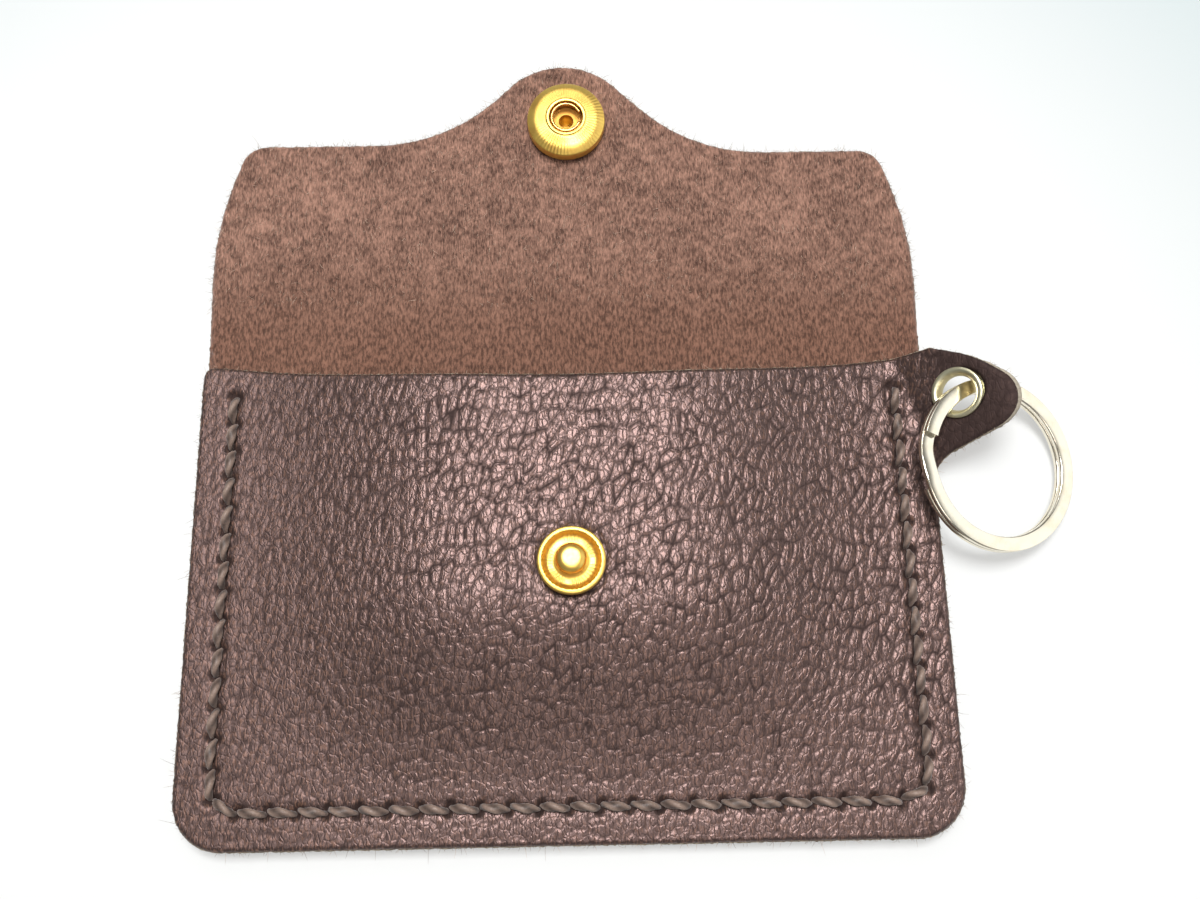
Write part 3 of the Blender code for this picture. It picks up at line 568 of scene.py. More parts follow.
def outward(loop):
    """Direction out of the material at each point of an outline."""
    along = np.roll(loop, -1, axis=0) - np.roll(loop, 1, axis=0)
    along /= np.linalg.norm(along, axis=1)[:, None]
    return np.column_stack([along[:, 1], -along[:, 0]])


def edge_drop(distance):
    """How far a face falls away where it rounds off into the wall."""
    inward = np.clip(distance, 0, EDGE_ROUND)
    return EDGE_ROUND - np.sqrt(EDGE_ROUND ** 2 - (EDGE_ROUND - inward) ** 2)


def wall_faces(loops, levels):
    """Squares between rows of rim points, whose first numbers are the levels."""
    walls = []
    first = 0
    for loop in loops:
        here = first + np.arange(len(loop))
        ahead = np.roll(here, -1)
        for above, below in zip(levels, levels[1:]):
            walls.append(np.column_stack([above + here, below + here, below + ahead, above + ahead]))
        first += len(loop)
    return np.vstack(walls)


def leather_piece(name, loops, place, top, bottom, steps, finishes, seed, joined=None, grained=None):
    """A hide: place(x, y, depth) puts its points, top and bottom give relief and grain marks.

    A joined side is where it runs on into another piece, and doesn't round off. The grained face
    comes with the seed of its pebbles."""
    rng = np.random.default_rng(seed)
    rim = np.vstack(loops)
    plain = np.zeros(len(rim), bool) if joined is None else joined(rim)
    points, marks, faces, starts, rim_depths = [], [], [], [], []
    count = 0
    for face, step in ((top, steps[0]), (bottom, steps[1])):
        flat, squares, triangles = fill(loops, step)
        distance = nearest(flat, rim[~plain])
        if grained and face is grained[0]:
            clear = distance > 2 * step
            flat[clear] = onto_valleys(flat[clear], step, grained[1])
        relief, grain = face(flat[:, 0], flat[:, 1])
        sunk = np.minimum(relief + edge_drop(distance), LEATHER / 2)
        depth = sunk if face is top else LEATHER - sunk
        points.append(place(flat[:, 0], flat[:, 1], depth))
        marks.append((flat, depth, grain))
        faces.append((squares + count, triangles + count))
        starts.append(count)
        rim_depths.append(depth[:len(rim)])
        count += len(flat)
    rim_out = np.vstack([outward(loop) for loop in loops])
    for share in WALL_ROWS:
        swell = WALL_SWELL * math.sin(math.pi * share) + rng.normal(0, WALL_ROUGH, len(rim))
        flat = rim + rim_out * np.where(plain, 0, swell)[:, None]
        depth = rim_depths[0] * (1 - share) + rim_depths[1] * share
        points.append(place(flat[:, 0], flat[:, 1], depth))
        marks.append((flat, depth, np.zeros(len(rim))))
        starts.append(count)
        count += len(rim)
    walls = wall_faces(loops, [starts[0], *starts[2:], starts[1]])
    groups = [faces[0][0], faces[0][1], faces[1][0][:, ::-1], faces[1][1][:, ::-1], walls]
    flat = np.vstack([np.column_stack([f, d]) for f, d, _ in marks])
    grain = np.concatenate([g for _, _, g in marks])
    piece = new_object(name, np.vstack(points), groups,
                       [finishes[0]] * 2 + [finishes[1]] * 2 + [finishes[2]],
                       {"flat": flat, "grain": grain})
    piece.data.set_sharp_from_angle(angle=LEATHER_SHARP)
    return piece


# %% [markdown]
# ## Scattered cells and soft hills
# Leather never repeats itself, but its make-up follows rules. One rule is cells: one point is
# scattered in each square of a grid, and a surface point belongs to its nearest one. The other
# is hills: a random height at each corner of a grid, with a smooth run between. Both come from
# seeded tables, so every run of this file makes the same leather.

# %% Cells and hills
TABLE = 512                # squares a side before the tables repeat


def cells(u, v, seed):
    """The nearest and the second nearest scattered point: distance, place and own number of each."""
    rng = np.random.default_rng(seed)
    scatter = rng.uniform(0.08, 0.92, (TABLE, TABLE, 3))
    column, row = np.floor(u).astype(int), np.floor(v).astype(int)
    first = np.full((4, *u.shape), 9.0)
    second = first.copy()
    for dc in (-1, 0, 1):
        for dr in (-1, 0, 1):
            spot = scatter[(column + dc) % TABLE, (row + dr) % TABLE]
            at_u, at_v = column + dc + spot[..., 0], row + dr + spot[..., 1]
            found = np.stack([np.hypot(at_u - u, at_v - v), at_u, at_v, spot[..., 2]])
            nearer = found[0] < first[0]
            second = np.where(nearer, first, np.where(found[0] < second[0], found, second))
            first = np.where(nearer, found, first)
    return first, second


def smooth(value):
    """A smooth step from 0 to 1."""
    value = np.clip(value, 0, 1)
    return value * value * (3 - 2 * value)


def hills(x, y, size, seed):
    """Soft random hills from -1 to 1, about one every size mm."""
    table = np.random.default_rng(seed).uniform(-1, 1, (TABLE, TABLE))
    u, v = x / size, y / size
    column, row = np.floor(u).astype(int), np.floor(v).astype(int)
    across, up = smooth(u - column), smooth(v - row)

    def corner(dc, dr):
        return table[(column + dc) % TABLE, (row + dr) % TABLE]

    low = corner(0, 0) * (1 - across) + corner(1, 0) * across
    high = corner(0, 1) * (1 - across) + corner(1, 1) * across
    return low * (1 - up) + high * up


sample_x, sample_y = np.meshgrid(np.linspace(0, 20, 50), np.linspace(0, 20, 50))
print("hills run from", round(float(hills(sample_x, sample_y, 2, 1).min()), 2), "to",
      round(float(hills(sample_x, sample_y, 2, 1).max()), 2))

# %% [markdown]
# ## Grain relief
# Pebbled grain is a crowd of raised cells with narrow valleys between. The difference between
# the nearest and the second nearest scattered point is small in a valley and large on a pebble.
# The cells are drawn out along the hide and lean over a little, more drawn out on the left, and
# flatter on the left and near the foot, where the pocket is worn. The mesh's even squares would
# blur a valley, so points that lie close to one are moved into it.

# %% Pebbles
PEBBLE_WIDTH = 1.42
PEBBLE_LENGTH = 2.6
PEBBLE_STRETCH = 0.8       # longer by this on the left
PEBBLE_DEPTH = 0.18
LEAN = 0.2                 # how far the cells lean over
FRESH_X, FRESH_X_RUN = -48, 36     # mm from the middle: worn up to here, fresh after the run
FRESH_Y, FRESH_Y_RUN = -36, 26
FIRST_CELL = 200           # keeps the numbers of the cells above 0
VALLEY_REACH = 0.45        # points within this share of a step are moved into a valley
TINY = 0.01


def among_cells(x, y, seed):
    """Where a point lies among the cells, which are stretched, leant over and drift about."""
    left = 1 - smooth((x - FRESH_X) / FRESH_X_RUN)
    u = (x - LEAN * y) / PEBBLE_WIDTH + 0.45 * hills(x, y, 4, seed + 1)
    v = y / (PEBBLE_LENGTH + PEBBLE_STRETCH * left) + 0.35 * hills(x, y, 5, seed + 2)
    return u + FIRST_CELL, v + FIRST_CELL


def pebbles(x, y, seed):
    """How high each point stands in the grain, 0 in a valley and 1 on top."""
    u, v = among_cells(x, y, seed)
    first, second = cells(u, v, seed)
    width = 0.34 + 0.12 * hills(x, y, 3, seed + 5)
    pillow = 1 - (1 - np.clip((second[0] - first[0]) / width, 0, 1)) ** 1.6
    fresh = smooth((x - FRESH_X) / FRESH_X_RUN) * smooth((y - FRESH_Y) / FRESH_Y_RUN)
    deep = (0.70 + 0.22 * hills(x, y, 2.2, seed + 6)) * (0.65 + 0.35 * fresh)
    own = first[3]
    first, second = cells(1.8 * u, 1.5 * v, seed + 3)
    fine = np.clip((second[0] - first[0]) / 0.25, 0, 1)
    uneven = 0.098 * hills(x, y, 1.1, seed + 4)
    return np.clip(0.85 - (1 - pillow) * deep + 0.06 * fine + 0.05 * own + uneven, 0, 1)


def onto_valleys(points, step, seed):
    """Points close to a valley, moved into it, so that the mesh bends sharply there."""
    x, y = points.T
    first, second = cells(*among_cells(x, y, seed), seed)

    def gap(x, y):
        u, v = among_cells(x, y, seed)
        return np.hypot(u - second[1], v - second[2]) - np.hypot(u - first[1], v - first[2])

    here = gap(x, y)
    slope = np.column_stack([gap(x + TINY, y) - here, gap(x, y + TINY) - here]) / TINY
    move = -slope * (here / (slope ** 2).sum(1))[:, None]
    close = np.hypot(*move.T) < VALLEY_REACH * step
    return np.where(close[:, None], points + move, points)


print("mean height in the grain:", round(float(pebbles(sample_x, sample_y, 1).mean()), 2))


# %% [markdown]
# ## The shape of the front
# The front is flat along its seam and swells over the cards. At its side the ear bends up from a
# slanted line and eases again at its tip. These are the same rises as the solid's, written on
# whole arrays of points. The visible leather keeps inside the solid: its relief is cut down from
# the solid's surface, never added to it.

# %% Height of the front
LAYER_GAP = 0.3
FRONT_UNDER = LEATHER + LAYER_GAP
SEAM_MARGIN = 4.6
SEAM_X = HALF - SEAM_MARGIN
SEAM_FOOT_Y = FOOT_Y + SEAM_MARGIN
STRAND_OFFSET = 0.6
THREAD_RADIUS = 0.5
MARGIN_X = SEAM_X - STRAND_OFFSET - THREAD_RADIUS
MARGIN_Y = SEAM_FOOT_Y + STRAND_OFFSET + THREAD_RADIUS
CROWN = 4.2
CROWN_SIDE_RUN = 32
CROWN_FLAT_DROP = 3.2
CROWN_FOOT_RUN = STUD_Y - CROWN_FLAT_DROP - MARGIN_Y
EAR_FOLD_POINT = (HALF + 0.3, CREASE_1.y - 18.2)
EAR_FOLD_AZIMUTH = math.radians(14.4)
EAR_FOLD_START, EAR_FOLD_END = -1.3, 1.6
EAR_SLOPE, EAR_TIP_SLOPE = math.radians(36), math.radians(16)
EAR_TIP_START, EAR_TIP_END = 8.6, 13.0


def smooth_area(value):
    """Integral of a smooth step from 0, carried on as a straight line past 1."""
    inner = np.clip(value, 0, 1)
    return inner ** 3 - inner ** 4 / 2 + np.maximum(value - 1, 0)


def front_under(x, y):
    """Underside of the front, ear included."""
    crown = (CROWN * smooth((MARGIN_X - np.abs(x)) / CROWN_SIDE_RUN)
             * smooth((y - MARGIN_Y) / CROWN_FOOT_RUN))
    across = ((x - EAR_FOLD_POINT[0]) * math.cos(EAR_FOLD_AZIMUTH)
              + (y - EAR_FOLD_POINT[1]) * math.sin(EAR_FOLD_AZIMUTH))
    bend, ease = EAR_FOLD_END - EAR_FOLD_START, EAR_TIP_END - EAR_TIP_START
    steep, eased = math.tan(EAR_SLOPE), math.tan(EAR_TIP_SLOPE)
    ear = (steep * bend * smooth_area((across - EAR_FOLD_START) / bend)
           - (steep - eased) * ease * smooth_area((across - EAR_TIP_START) / ease))
    return FRONT_UNDER + crown + ear


EAR_CUT = 1.7                  # how far the ear's end is cut on the slant
EAR_CUT_MIDDLE = 0.55          # share of the thickness at which the outline keeps its place
EAR_CUT_FROM, EAR_CUT_RUN = HALF + 3, 6
SLOPE_STEP = 0.05


def front_place(x, y, depth):
    """Points of the front: depth is how far below its outer face."""
    cut = EAR_CUT * (depth / LEATHER - EAR_CUT_MIDDLE) * smooth((x - EAR_CUT_FROM) / EAR_CUT_RUN)
    x = x + cut * math.cos(EAR_FOLD_AZIMUTH)
    y = y + cut * math.sin(EAR_FOLD_AZIMUTH)
    rise_x = front_under(x + SLOPE_STEP, y) - front_under(x - SLOPE_STEP, y)
    rise_y = front_under(x, y + SLOPE_STEP) - front_under(x, y - SLOPE_STEP)
    slant = np.sqrt(1 + (rise_x ** 2 + rise_y ** 2) / (2 * SLOPE_STEP) ** 2)
    return np.column_stack([x, y, front_under(x, y) + (LEATHER - depth) * slant])


print("crown top, mm:", round(float(front_under(0, STUD_Y)) + LEATHER, 2))

# %% [markdown]
# ## The seam
# The stitches follow one line round three sides. Their slots are evenly spaced and slant a
# little, the mark of a pricking iron. The leather is drawn down along the line and deeper at each
# slot, so both the relief and the thread are worked out from the same list of slots.

# %% Slots of the seam
MOUTH_Y = CREASE_1.y - LAYER_GAP
SEAM_TOP_Y = MOUTH_Y - 4.4
SEAM_CORNER = 3
SEAM_FADE = 1.5               # run over which the seam's dent ends above its top
SEAM_DENT, SEAM_DENT_HALF = 0.2, 0.8
STITCH_PITCH = 3.8
SLOT_SLANT = 20
SLOT_HALF = (0.95, 0.42)      # half length and half width of a slot's dent
SLOT_DENT = 0.75


def seam_slots():
    """Place and direction of every slot."""
    route = rounded([(-SEAM_X, SEAM_TOP_Y, 0), (-SEAM_X, SEAM_FOOT_Y, SEAM_CORNER),
                     (SEAM_X, SEAM_FOOT_Y, SEAM_CORNER), (SEAM_X, SEAM_TOP_Y, 0)], 12)
    length = np.linalg.norm(np.diff(route, axis=0), axis=1).sum()
    places = evenly(route, length / round(length / STITCH_PITCH), closed=False)
    along = np.gradient(places, axis=0)
    along /= np.linalg.norm(along, axis=1)[:, None]
    turn = math.radians(90 - SLOT_SLANT)
    lie = np.column_stack([along[:, 0] * math.cos(turn) - along[:, 1] * math.sin(turn),
                           along[:, 0] * math.sin(turn) + along[:, 1] * math.cos(turn)])
    return places, lie


SLOTS, SLOT_LIES = seam_slots()


def seam_line(x, y, half, power):
    """A furrow along the seam, 1 on its line, with a half width and the steepness of its sides."""
    side = np.abs(x) - (SEAM_X - SEAM_CORNER)
    foot = SEAM_FOOT_Y + SEAM_CORNER - y
    corner = (side > 0) & (foot > 0)
    off = np.where(corner, np.hypot(side, foot), np.maximum(side, foot)) - SEAM_CORNER
    return np.exp(-(off / half) ** power) * smooth((SEAM_TOP_Y + SEAM_FADE - y) / SEAM_FADE)


def seam_dent(x, y):
    """How far the leather is drawn in along the seam, and how much of that is slot."""
    line = seam_line(x, y, SEAM_DENT_HALF, 2)
    slot = np.zeros(x.shape)
    for (at_x, at_y), (lie_x, lie_y) in zip(SLOTS, SLOT_LIES):
        along = (x - at_x) * lie_x + (y - at_y) * lie_y
        across = (y - at_y) * lie_x - (x - at_x) * lie_y
        slot = np.maximum(slot, np.exp(-(along / SLOT_HALF[0]) ** 4 - (across / SLOT_HALF[1]) ** 2))
    return SEAM_DENT * line + SLOT_DENT * slot, slot


print("stitches a side:", len(SLOTS) - 1)

# %% [markdown]
# ## The front
# Its outline is the pocket's foot and sides, the ear and the dipped mouth. It has a hole for the
# eyelet's barrel. The stud covers its own hole, so none is cut there: a dent shows how the
# rivet draws the leather in.

# %% Front piece
POCKET_CORNER = 6.5
MOUTH_CORNER = 1.5
MOUTH_SCOOP = 3.25
MOUTH_STEPS = 24
EAR_BASE_DROP, EAR_BASE_ROUND = 15.6, 4            # below the first crease, and its arc
EAR_LOW_TIP, EAR_LOW_TIP_ROUND = (13.8, 9.7), 4.2  # past the side and below the crease
EAR_HIGH_TIP, EAR_HIGH_TIP_ROUND = (5.1, 2.45), 26
# EAR_SMOOTH also lowers the grain mark on the ear, which paints the ear darker: painted shade.
EAR_SMOOTH = 0.75           # how much of the grain is pressed flat on the ear
FINE_STEP = 0.265
RIM_STEP = 0.32
COARSE_STEP = 1.6
EYELET_BARREL = 2.95
STUD_RADIUS = 4.45
FRONT_SEED = 11


def mouth_points():
    """The mouth's dipped edge, an arc of a wide circle, from right to left."""
    span = HALF - MOUTH_CORNER
    radius = (span ** 2 + MOUTH_SCOOP ** 2) / (2 * MOUTH_SCOOP)
    for k in range(1, MOUTH_STEPS):
        x = span - 2 * span * k / MOUTH_STEPS
        yield x, MOUTH_Y - MOUTH_SCOOP + radius - math.sqrt(radius ** 2 - x ** 2), 0


def front_loops():
    """Outline of the front, and the hole for the eyelet."""
    top = CREASE_1.y
    outline = rounded([(-HALF, FOOT_Y, POCKET_CORNER), (HALF, FOOT_Y, POCKET_CORNER),
                       (HALF, top - EAR_BASE_DROP, EAR_BASE_ROUND),
                       (HALF + EAR_LOW_TIP[0], top - EAR_LOW_TIP[1], EAR_LOW_TIP_ROUND),
                       (HALF + EAR_HIGH_TIP[0], top - EAR_HIGH_TIP[1], EAR_HIGH_TIP_ROUND),
                       (HALF, MOUTH_Y, 0), *mouth_points(), (-HALF, MOUTH_Y, MOUTH_CORNER)])
    return [evenly(outline, RIM_STEP), circle(EYE.x, EYE.y, EYELET_BARREL, RIM_STEP)]


def front_top(x, y):
    """Grain, the seam's dents and a dent round the stud. The grain is pressed flatter on the ear."""
    grain = pebbles(x, y, FRONT_SEED)
    dent, slot = seam_dent(x, y)
    from_stud = np.hypot(x - STUD_X, y - STUD_Y)
    drawn = 0.35 * np.exp(-((from_stud - STUD_RADIUS + 0.6) / 1.3) ** 2)
    # Lowering the grain mark on the ear also paints the ear darker: painted shade.
    off_ear = 1 - EAR_SMOOTH * smooth((x - HALF + 2) / 4)
    # The mark is 0 in the slots, which paints them dark: painted shade in the stitch holes.
    return PEBBLE_DEPTH * (1 - grain) * off_ear + dent + drawn, grain * (1 - slot) * off_ear


def plain_suede(sunk, height, size, seed):
    """A face with only soft hills, for sides that hardly show."""
    return lambda x, y: (sunk + height * hills(x, y, size, seed), np.zeros(x.shape))


front = leather_piece("pocket_front", front_loops(), front_place, front_top,
                      plain_suede(0.05, 0.05, 2.5, 31), (FINE_STEP, COARSE_STEP),
                      (GRAIN, SUEDE, CUT_EDGE), 5, grained=(front_top, FRONT_SEED))
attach(front, "pocket")
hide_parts("front_panel")

# %% [markdown]
# ## The long hide
# The back, the fold and the flap are one hide that bends at two creases. It is made as two
# pieces that meet in the middle of the spine, because a blend can bend a piece across one joint
# only. Distances are measured along the hide from the first crease, so the pattern stays flat
# here and the placing bends it.

# %% Placing along the long hide
CREASE_EASE = 1.4          # half the run in which the hide bends at the first crease
SPINE_MIDDLE = SPINE / 2


def hide_place(x, along, depth):
    """Points of the long hide. Depth is measured from its suede side."""
    share = (along + CREASE_EASE) / (2 * CREASE_EASE)
    angle = TILT * smooth(share)
    past = 2 * CREASE_EASE * smooth_area(share)
    y = CREASE_1.y + along - (1 - math.cos(TILT)) * past + depth * np.sin(angle)
    z = CREASE_1.z + math.sin(TILT) * past - depth * np.cos(angle)
    return np.column_stack([x, y, z])


end_of_spine = hide_place(np.zeros(1), np.array([SPINE]), np.zeros(1))[0]
print("the spine ends at, mm:", end_of_spine.round(2), "and the joint is at", np.round(CREASE_2, 2))

# %% [markdown]
# ## Outline of the long hide
# The flap's sides draw in near its shoulders, and a tongue for the snap stands out between
# them, all with soft corners. The left shoulder is cut a little higher than the right one, as by
# hand. The two corners in the middle of the spine are kept exactly, so that both pieces of the
# hide share them.

# %% Outlines of the back and the flap
FLAP_CORNERS = dict(side=44, corner=3.75, root=26, tongue=10.8)     # radii round the flap
SHOULDER_DROP = 3.55
SHOULDER_SKEW = 0.9        # the left shoulder is cut this much higher, the right one lower
TONGUE_REACH = 9.3
TONGUE_ANGLE = math.radians(43.5)
TAPER_ANGLE = math.radians(19.5)
TAPER_RUN = 12.5


def flap_outline():
    """The flap from the middle of the spine to the tongue's tip."""
    tip = SPINE + SNAP_REACH + TONGUE_REACH
    radius = FLAP_CORNERS["tongue"]
    apex = tip - radius + radius / math.cos(TONGUE_ANGLE)
    corner = HALF - TAPER_RUN * math.tan(TAPER_ANGLE)

    def side(sign):
        shoulder = SPINE + SNAP_REACH - SHOULDER_DROP - sign * SHOULDER_SKEW
        root = (apex - shoulder) / math.tan(TONGUE_ANGLE)
        return [(sign * HALF, SPINE_MIDDLE, 0),
                (sign * HALF, shoulder - TAPER_RUN, FLAP_CORNERS["side"]),
                (sign * corner, shoulder, FLAP_CORNERS["corner"]),
                (sign * root, shoulder, FLAP_CORNERS["root"])]

    return rounded([*side(1), (0, apex, radius), *reversed(side(-1))])


def back_outline():
    """The back from its foot to the middle of the spine."""
    foot = FOOT_Y - CREASE_1.y
    return rounded([(-HALF, foot, POCKET_CORNER), (HALF, foot, POCKET_CORNER),
                    (HALF, SPINE_MIDDLE, 0), (-HALF, SPINE_MIDDLE, 0)])


def on_spine_middle(points):
    """Which points lie where the two pieces of the long hide meet."""
    return np.abs(points[:, 1] - SPINE_MIDDLE) < 1e-4


def straight_evenly(outline, step):
    """Even steps that keep the two corners in the middle of the spine."""
    one, other = np.flatnonzero(on_spine_middle(outline))
    start = other if other - one == 1 else one
    opened = np.roll(outline, -start, axis=0)
    across = np.array([opened[-1], opened[0]])
    return np.vstack([evenly(opened, step, closed=False)[:-1],
                      evenly(across, step, closed=False)[:-1]])


flap_loops = [straight_evenly(flap_outline(), RIM_STEP)]
print("the flap reaches past the first crease, mm:", round(float(flap_loops[0][:, 1].max()), 1))

# %% [markdown]
# ## Both pieces of the long hide
# The suede side is nearly flat, with the nap's soft hills and a shallow seat pressed in round the
# socket. The grain side has the same pebbles as the front, and a groove along the seam that takes the
# back's stitches, so that the wallet lies flat. The placing bends the back across the first crease.

# %% Back and flap
GROOVE_DEPTH = 0.55
GROOVE_HALF = 0.7
SEAT_RADIUS, SEAT_HALF, SEAT_DEPTH = 5.4, 0.9, 0.12
HIDE_STEP = 0.36
BACK_SUEDE_STEP = 0.9
CAP_HOLE = 1.65
HIDE_SEED = 23
CREASE_BEND = 2.6          # half the run in which the hide bends as it folds


def suede_side(x, along):
    """Soft hills of the suede, and the socket's seat pressed in."""
    from_snap = np.hypot(x - SNAP_SIDE, along - SPINE - SNAP_REACH)
    pressed = SEAT_DEPTH * np.exp(-((from_snap - SEAT_RADIUS) / SEAT_HALF) ** 2)
    nap = 0.06 * hills(x * 1.7, along, 0.8, 41) + 0.05 * hills(x, along, 2.3, 42)
    return 0.12 + nap + pressed, np.zeros(x.shape)


def grain_side(x, along):
    """Grain, and the groove and dents of the seam."""
    grain = pebbles(x, along, HIDE_SEED)
    dent, slot = seam_dent(x, along + CREASE_1.y)
    groove = GROOVE_DEPTH * seam_line(x, along + CREASE_1.y, GROOVE_HALF, 4)
    # The mark is 0 in the slots, which paints them dark: painted shade in the stitch holes.
    return PEBBLE_DEPTH * (1 - grain) + groove + 0.3 * dent, grain * (1 - slot)


back = leather_piece("hide_back", [straight_evenly(back_outline(), RIM_STEP)], hide_place,
                     plain_suede(0.08, 0.04, 1.5, 43), grain_side, (BACK_SUEDE_STEP, HIDE_STEP),
                     (SUEDE, BACK_GRAIN, CUT_EDGE), 6, on_spine_middle, (grain_side, HIDE_SEED))
flap_loops.append(circle(SNAP_SIDE, SPINE + SNAP_REACH, CAP_HOLE, RIM_STEP))
flap = leather_piece("hide_flap", flap_loops, hide_place, suede_side, grain_side,
                     (HIDE_STEP, HIDE_STEP), (SUEDE, BACK_GRAIN, CUT_EDGE), 7, on_spine_middle,
                     (grain_side, HIDE_SEED))


def bend_at(piece):
    """Bakes the piece's placing into its mesh."""
    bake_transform(piece)


bend_at(back)
bend_at(flap)
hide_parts("back_panel")
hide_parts("flap_spine", "flap")

# %% [markdown]
# ## Thread
# The thread is waxed and twisted of two plies. The furrow between the plies is painted darker than the
# plies, as painted shade, so the finish reads how high each point stands in the twist.
# Thread, spring and split ring are all tubes along a path: a section is placed square to the
# path at each of its points.

# %% Thread finish and tubes
def thread_finish():
    finish = Finish("waxed_thread", Roughness=0.5, Specular_IOR_Level=0.4, Sheen_Weight=0.2)
    place = finish.node("ShaderNodeTexCoord").outputs["Object"]
    fibre = finish.noise(place, 3500, 2)
    ply = finish.attribute("ply")
    # Near black in the furrow between the plies: painted shade.
    colour = finish.mix(ply, (0.034, 0.022, 0.017), (0.27, 0.195, 0.155))
    colour = finish.mix(finish.between(fibre, 0.3, 0.7) * 0.5, colour, (0.13, 0.082, 0.064))
    finish.bump(fibre, 0.04)
    return finish.surface(Base_Color=colour)


THREAD = thread_finish()
print("thread finish:", THREAD.name)


def tube(name, path, section, finish, up=None, marks=None):
    """A tube along a path. section(k) gives the ring of (side, up) offsets at point k."""
    ahead = np.gradient(path, axis=0)
    ahead /= np.linalg.norm(ahead, axis=1)[:, None]
    side = np.cross(ahead[0], up if up is not None else (0.3, 0.2, 0.9))
    rings = []
    for k in range(len(path)):
        if up is not None:
            side = np.cross(ahead[k], up)
        side = side - ahead[k] * (side @ ahead[k])
        side /= np.linalg.norm(side)
        above = np.cross(side, ahead[k])
        offsets = section(k)
        rings.append(path[k] + offsets[:, :1] * side + offsets[:, 1:] * above)
    count, corners = len(rings), len(rings[0])
    points = np.vstack(rings + [path[:1], path[-1:]])
    here = np.arange(corners)
    ahead_here = np.roll(here, -1)
    quads = np.vstack([np.column_stack([k * corners + here, k * corners + ahead_here,
                                        (k + 1) * corners + ahead_here, (k + 1) * corners + here])
                       for k in range(count - 1)])
    first, last = count * corners, count * corners + 1
    caps = np.vstack([np.column_stack([np.full(corners, first), ahead_here, here]),
                      np.column_stack([np.full(corners, last), (count - 1) * corners + here,
                                       (count - 1) * corners + ahead_here])])
    if marks is not None:
        marks = {"ply": np.concatenate([marks, [0, 0]])}
    return new_object(name, points, [quads, caps], [finish, finish], marks)


# %% [markdown]
# ## The saddle stitch
# A saddle stitch is one thread, needled from both ends. Its two strands swap sides at every slot,
# so the front and the back both show a full line of stitches. A stitch arches out of one slot
# and into the next, swells where nothing pinches it, and sets a little aslant, because the two
# strands share each slot. On the back it lies flatter, in its groove.

# %% The saddle stitch
STITCH_SAMPLES = 14
STITCH_ARCH = 2.6          # how square-shouldered a stitch is
THREAD_SIDES = 18
PLIES = 2
PLY_PITCH = 5.2            # run of one full twist
PLY_DEPTH = 0.14
STITCH_OFFSET = 0.26       # each strand from the middle of its slot
STITCH_THICK = 1.3         # middle of a stitch against the thread's own radius
STITCH_PINCH = 0.5         # its end in the slot, the same way
BACK_THICK = 0.36
TOP_SUNK, TOP_PROUD = FRONT_UNDER + LEATHER - 1.1, FRONT_UNDER + LEATHER + 0.42
BACK_SUNK, BACK_PROUD = 1.2, 0.42     # heights above the table


def stitch_path():
    """Middle line and radius of the whole thread."""
    strands = []
    for parity in (0, 1):
        strand = []
        for k in range(len(SLOTS) - 1):
            on_top = k % 2 == parity
            aside = STITCH_OFFSET if on_top else -STITCH_OFFSET
            first = SLOTS[k] + SLOT_LIES[k] * aside
            second = SLOTS[k + 1] - SLOT_LIES[k + 1] * aside
            sunk, proud = (TOP_SUNK, TOP_PROUD) if on_top else (BACK_SUNK, BACK_PROUD)
            for step in range(STITCH_SAMPLES):
                share = step / STITCH_SAMPLES
                arch = 1 - abs(2 * share - 1) ** STITCH_ARCH
                spot = first + (second - first) * share
                swell = THREAD_RADIUS * (STITCH_PINCH + (STITCH_THICK - STITCH_PINCH) * arch)
                strand.append((*spot, sunk + (proud - sunk) * arch, swell if on_top else BACK_THICK))
        strands.append(strand)
    return np.array(strands[0][::-1] + strands[1])


def saddle_thread():
    """The whole thread as a tube, and its length."""
    line = stitch_path()
    path, thick = line[:, :3], line[:, 3]
    run = np.concatenate([[0], np.cumsum(np.linalg.norm(np.diff(path, axis=0), axis=1))])
    angles = np.linspace(0, 2 * math.pi, THREAD_SIDES, endpoint=False)
    lobes = [np.cos(PLIES * (angles + 2 * math.pi * at / PLY_PITCH)) for at in run]

    def section(k):
        radius = thick[k] * (1 - PLY_DEPTH + PLY_DEPTH * lobes[k])
        return np.column_stack([radius * np.cos(angles), radius * np.sin(angles)])

    ply = np.concatenate([0.5 + 0.5 * lobe for lobe in lobes])
    return tube("saddle_stitches", path, section, THREAD, marks=ply), run[-1]


thread, thread_length = saddle_thread()
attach(thread, "pocket")
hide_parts("saddle_thread")
print("thread in the seam, mm:", round(float(thread_length)))

# %% [markdown]
# ## Brass and plating
# The snap is bright yellow brass, the eyelet a paler, duller metal, and the ring polished pale plating.
# A metal shows mostly what it reflects, so its finish is a colour, a roughness with fine rubbing in it,
# and tarnish that gathers where cloth and fingers don't reach. In the snap's socket that tarnish is also
# painted shade.

# %% Metal finishes
def metal_finish(name, colour, tarnish, roughness, scratch):
    """A metal with cloudy tarnish, and more of it where the mesh is marked with shade."""
    finish = Finish(name, Metallic=1.0)
    place = finish.node("ShaderNodeTexCoord").outputs["Object"]
    cloud = finish.noise(place, 420, 3)
    rub = finish.noise(place, 2600, 2)
    mark = finish.attribute("shade")
    mixed = finish.mix(finish.between(cloud, 0.4, 0.75) * 0.35 + mark * 0.6, colour, tarnish)
    finish.bump(0.5 * rub + 0.5 * cloud, scratch)
    return finish.surface(Base_Color=mixed, Roughness=roughness + 0.12 * rub + 0.2 * mark)


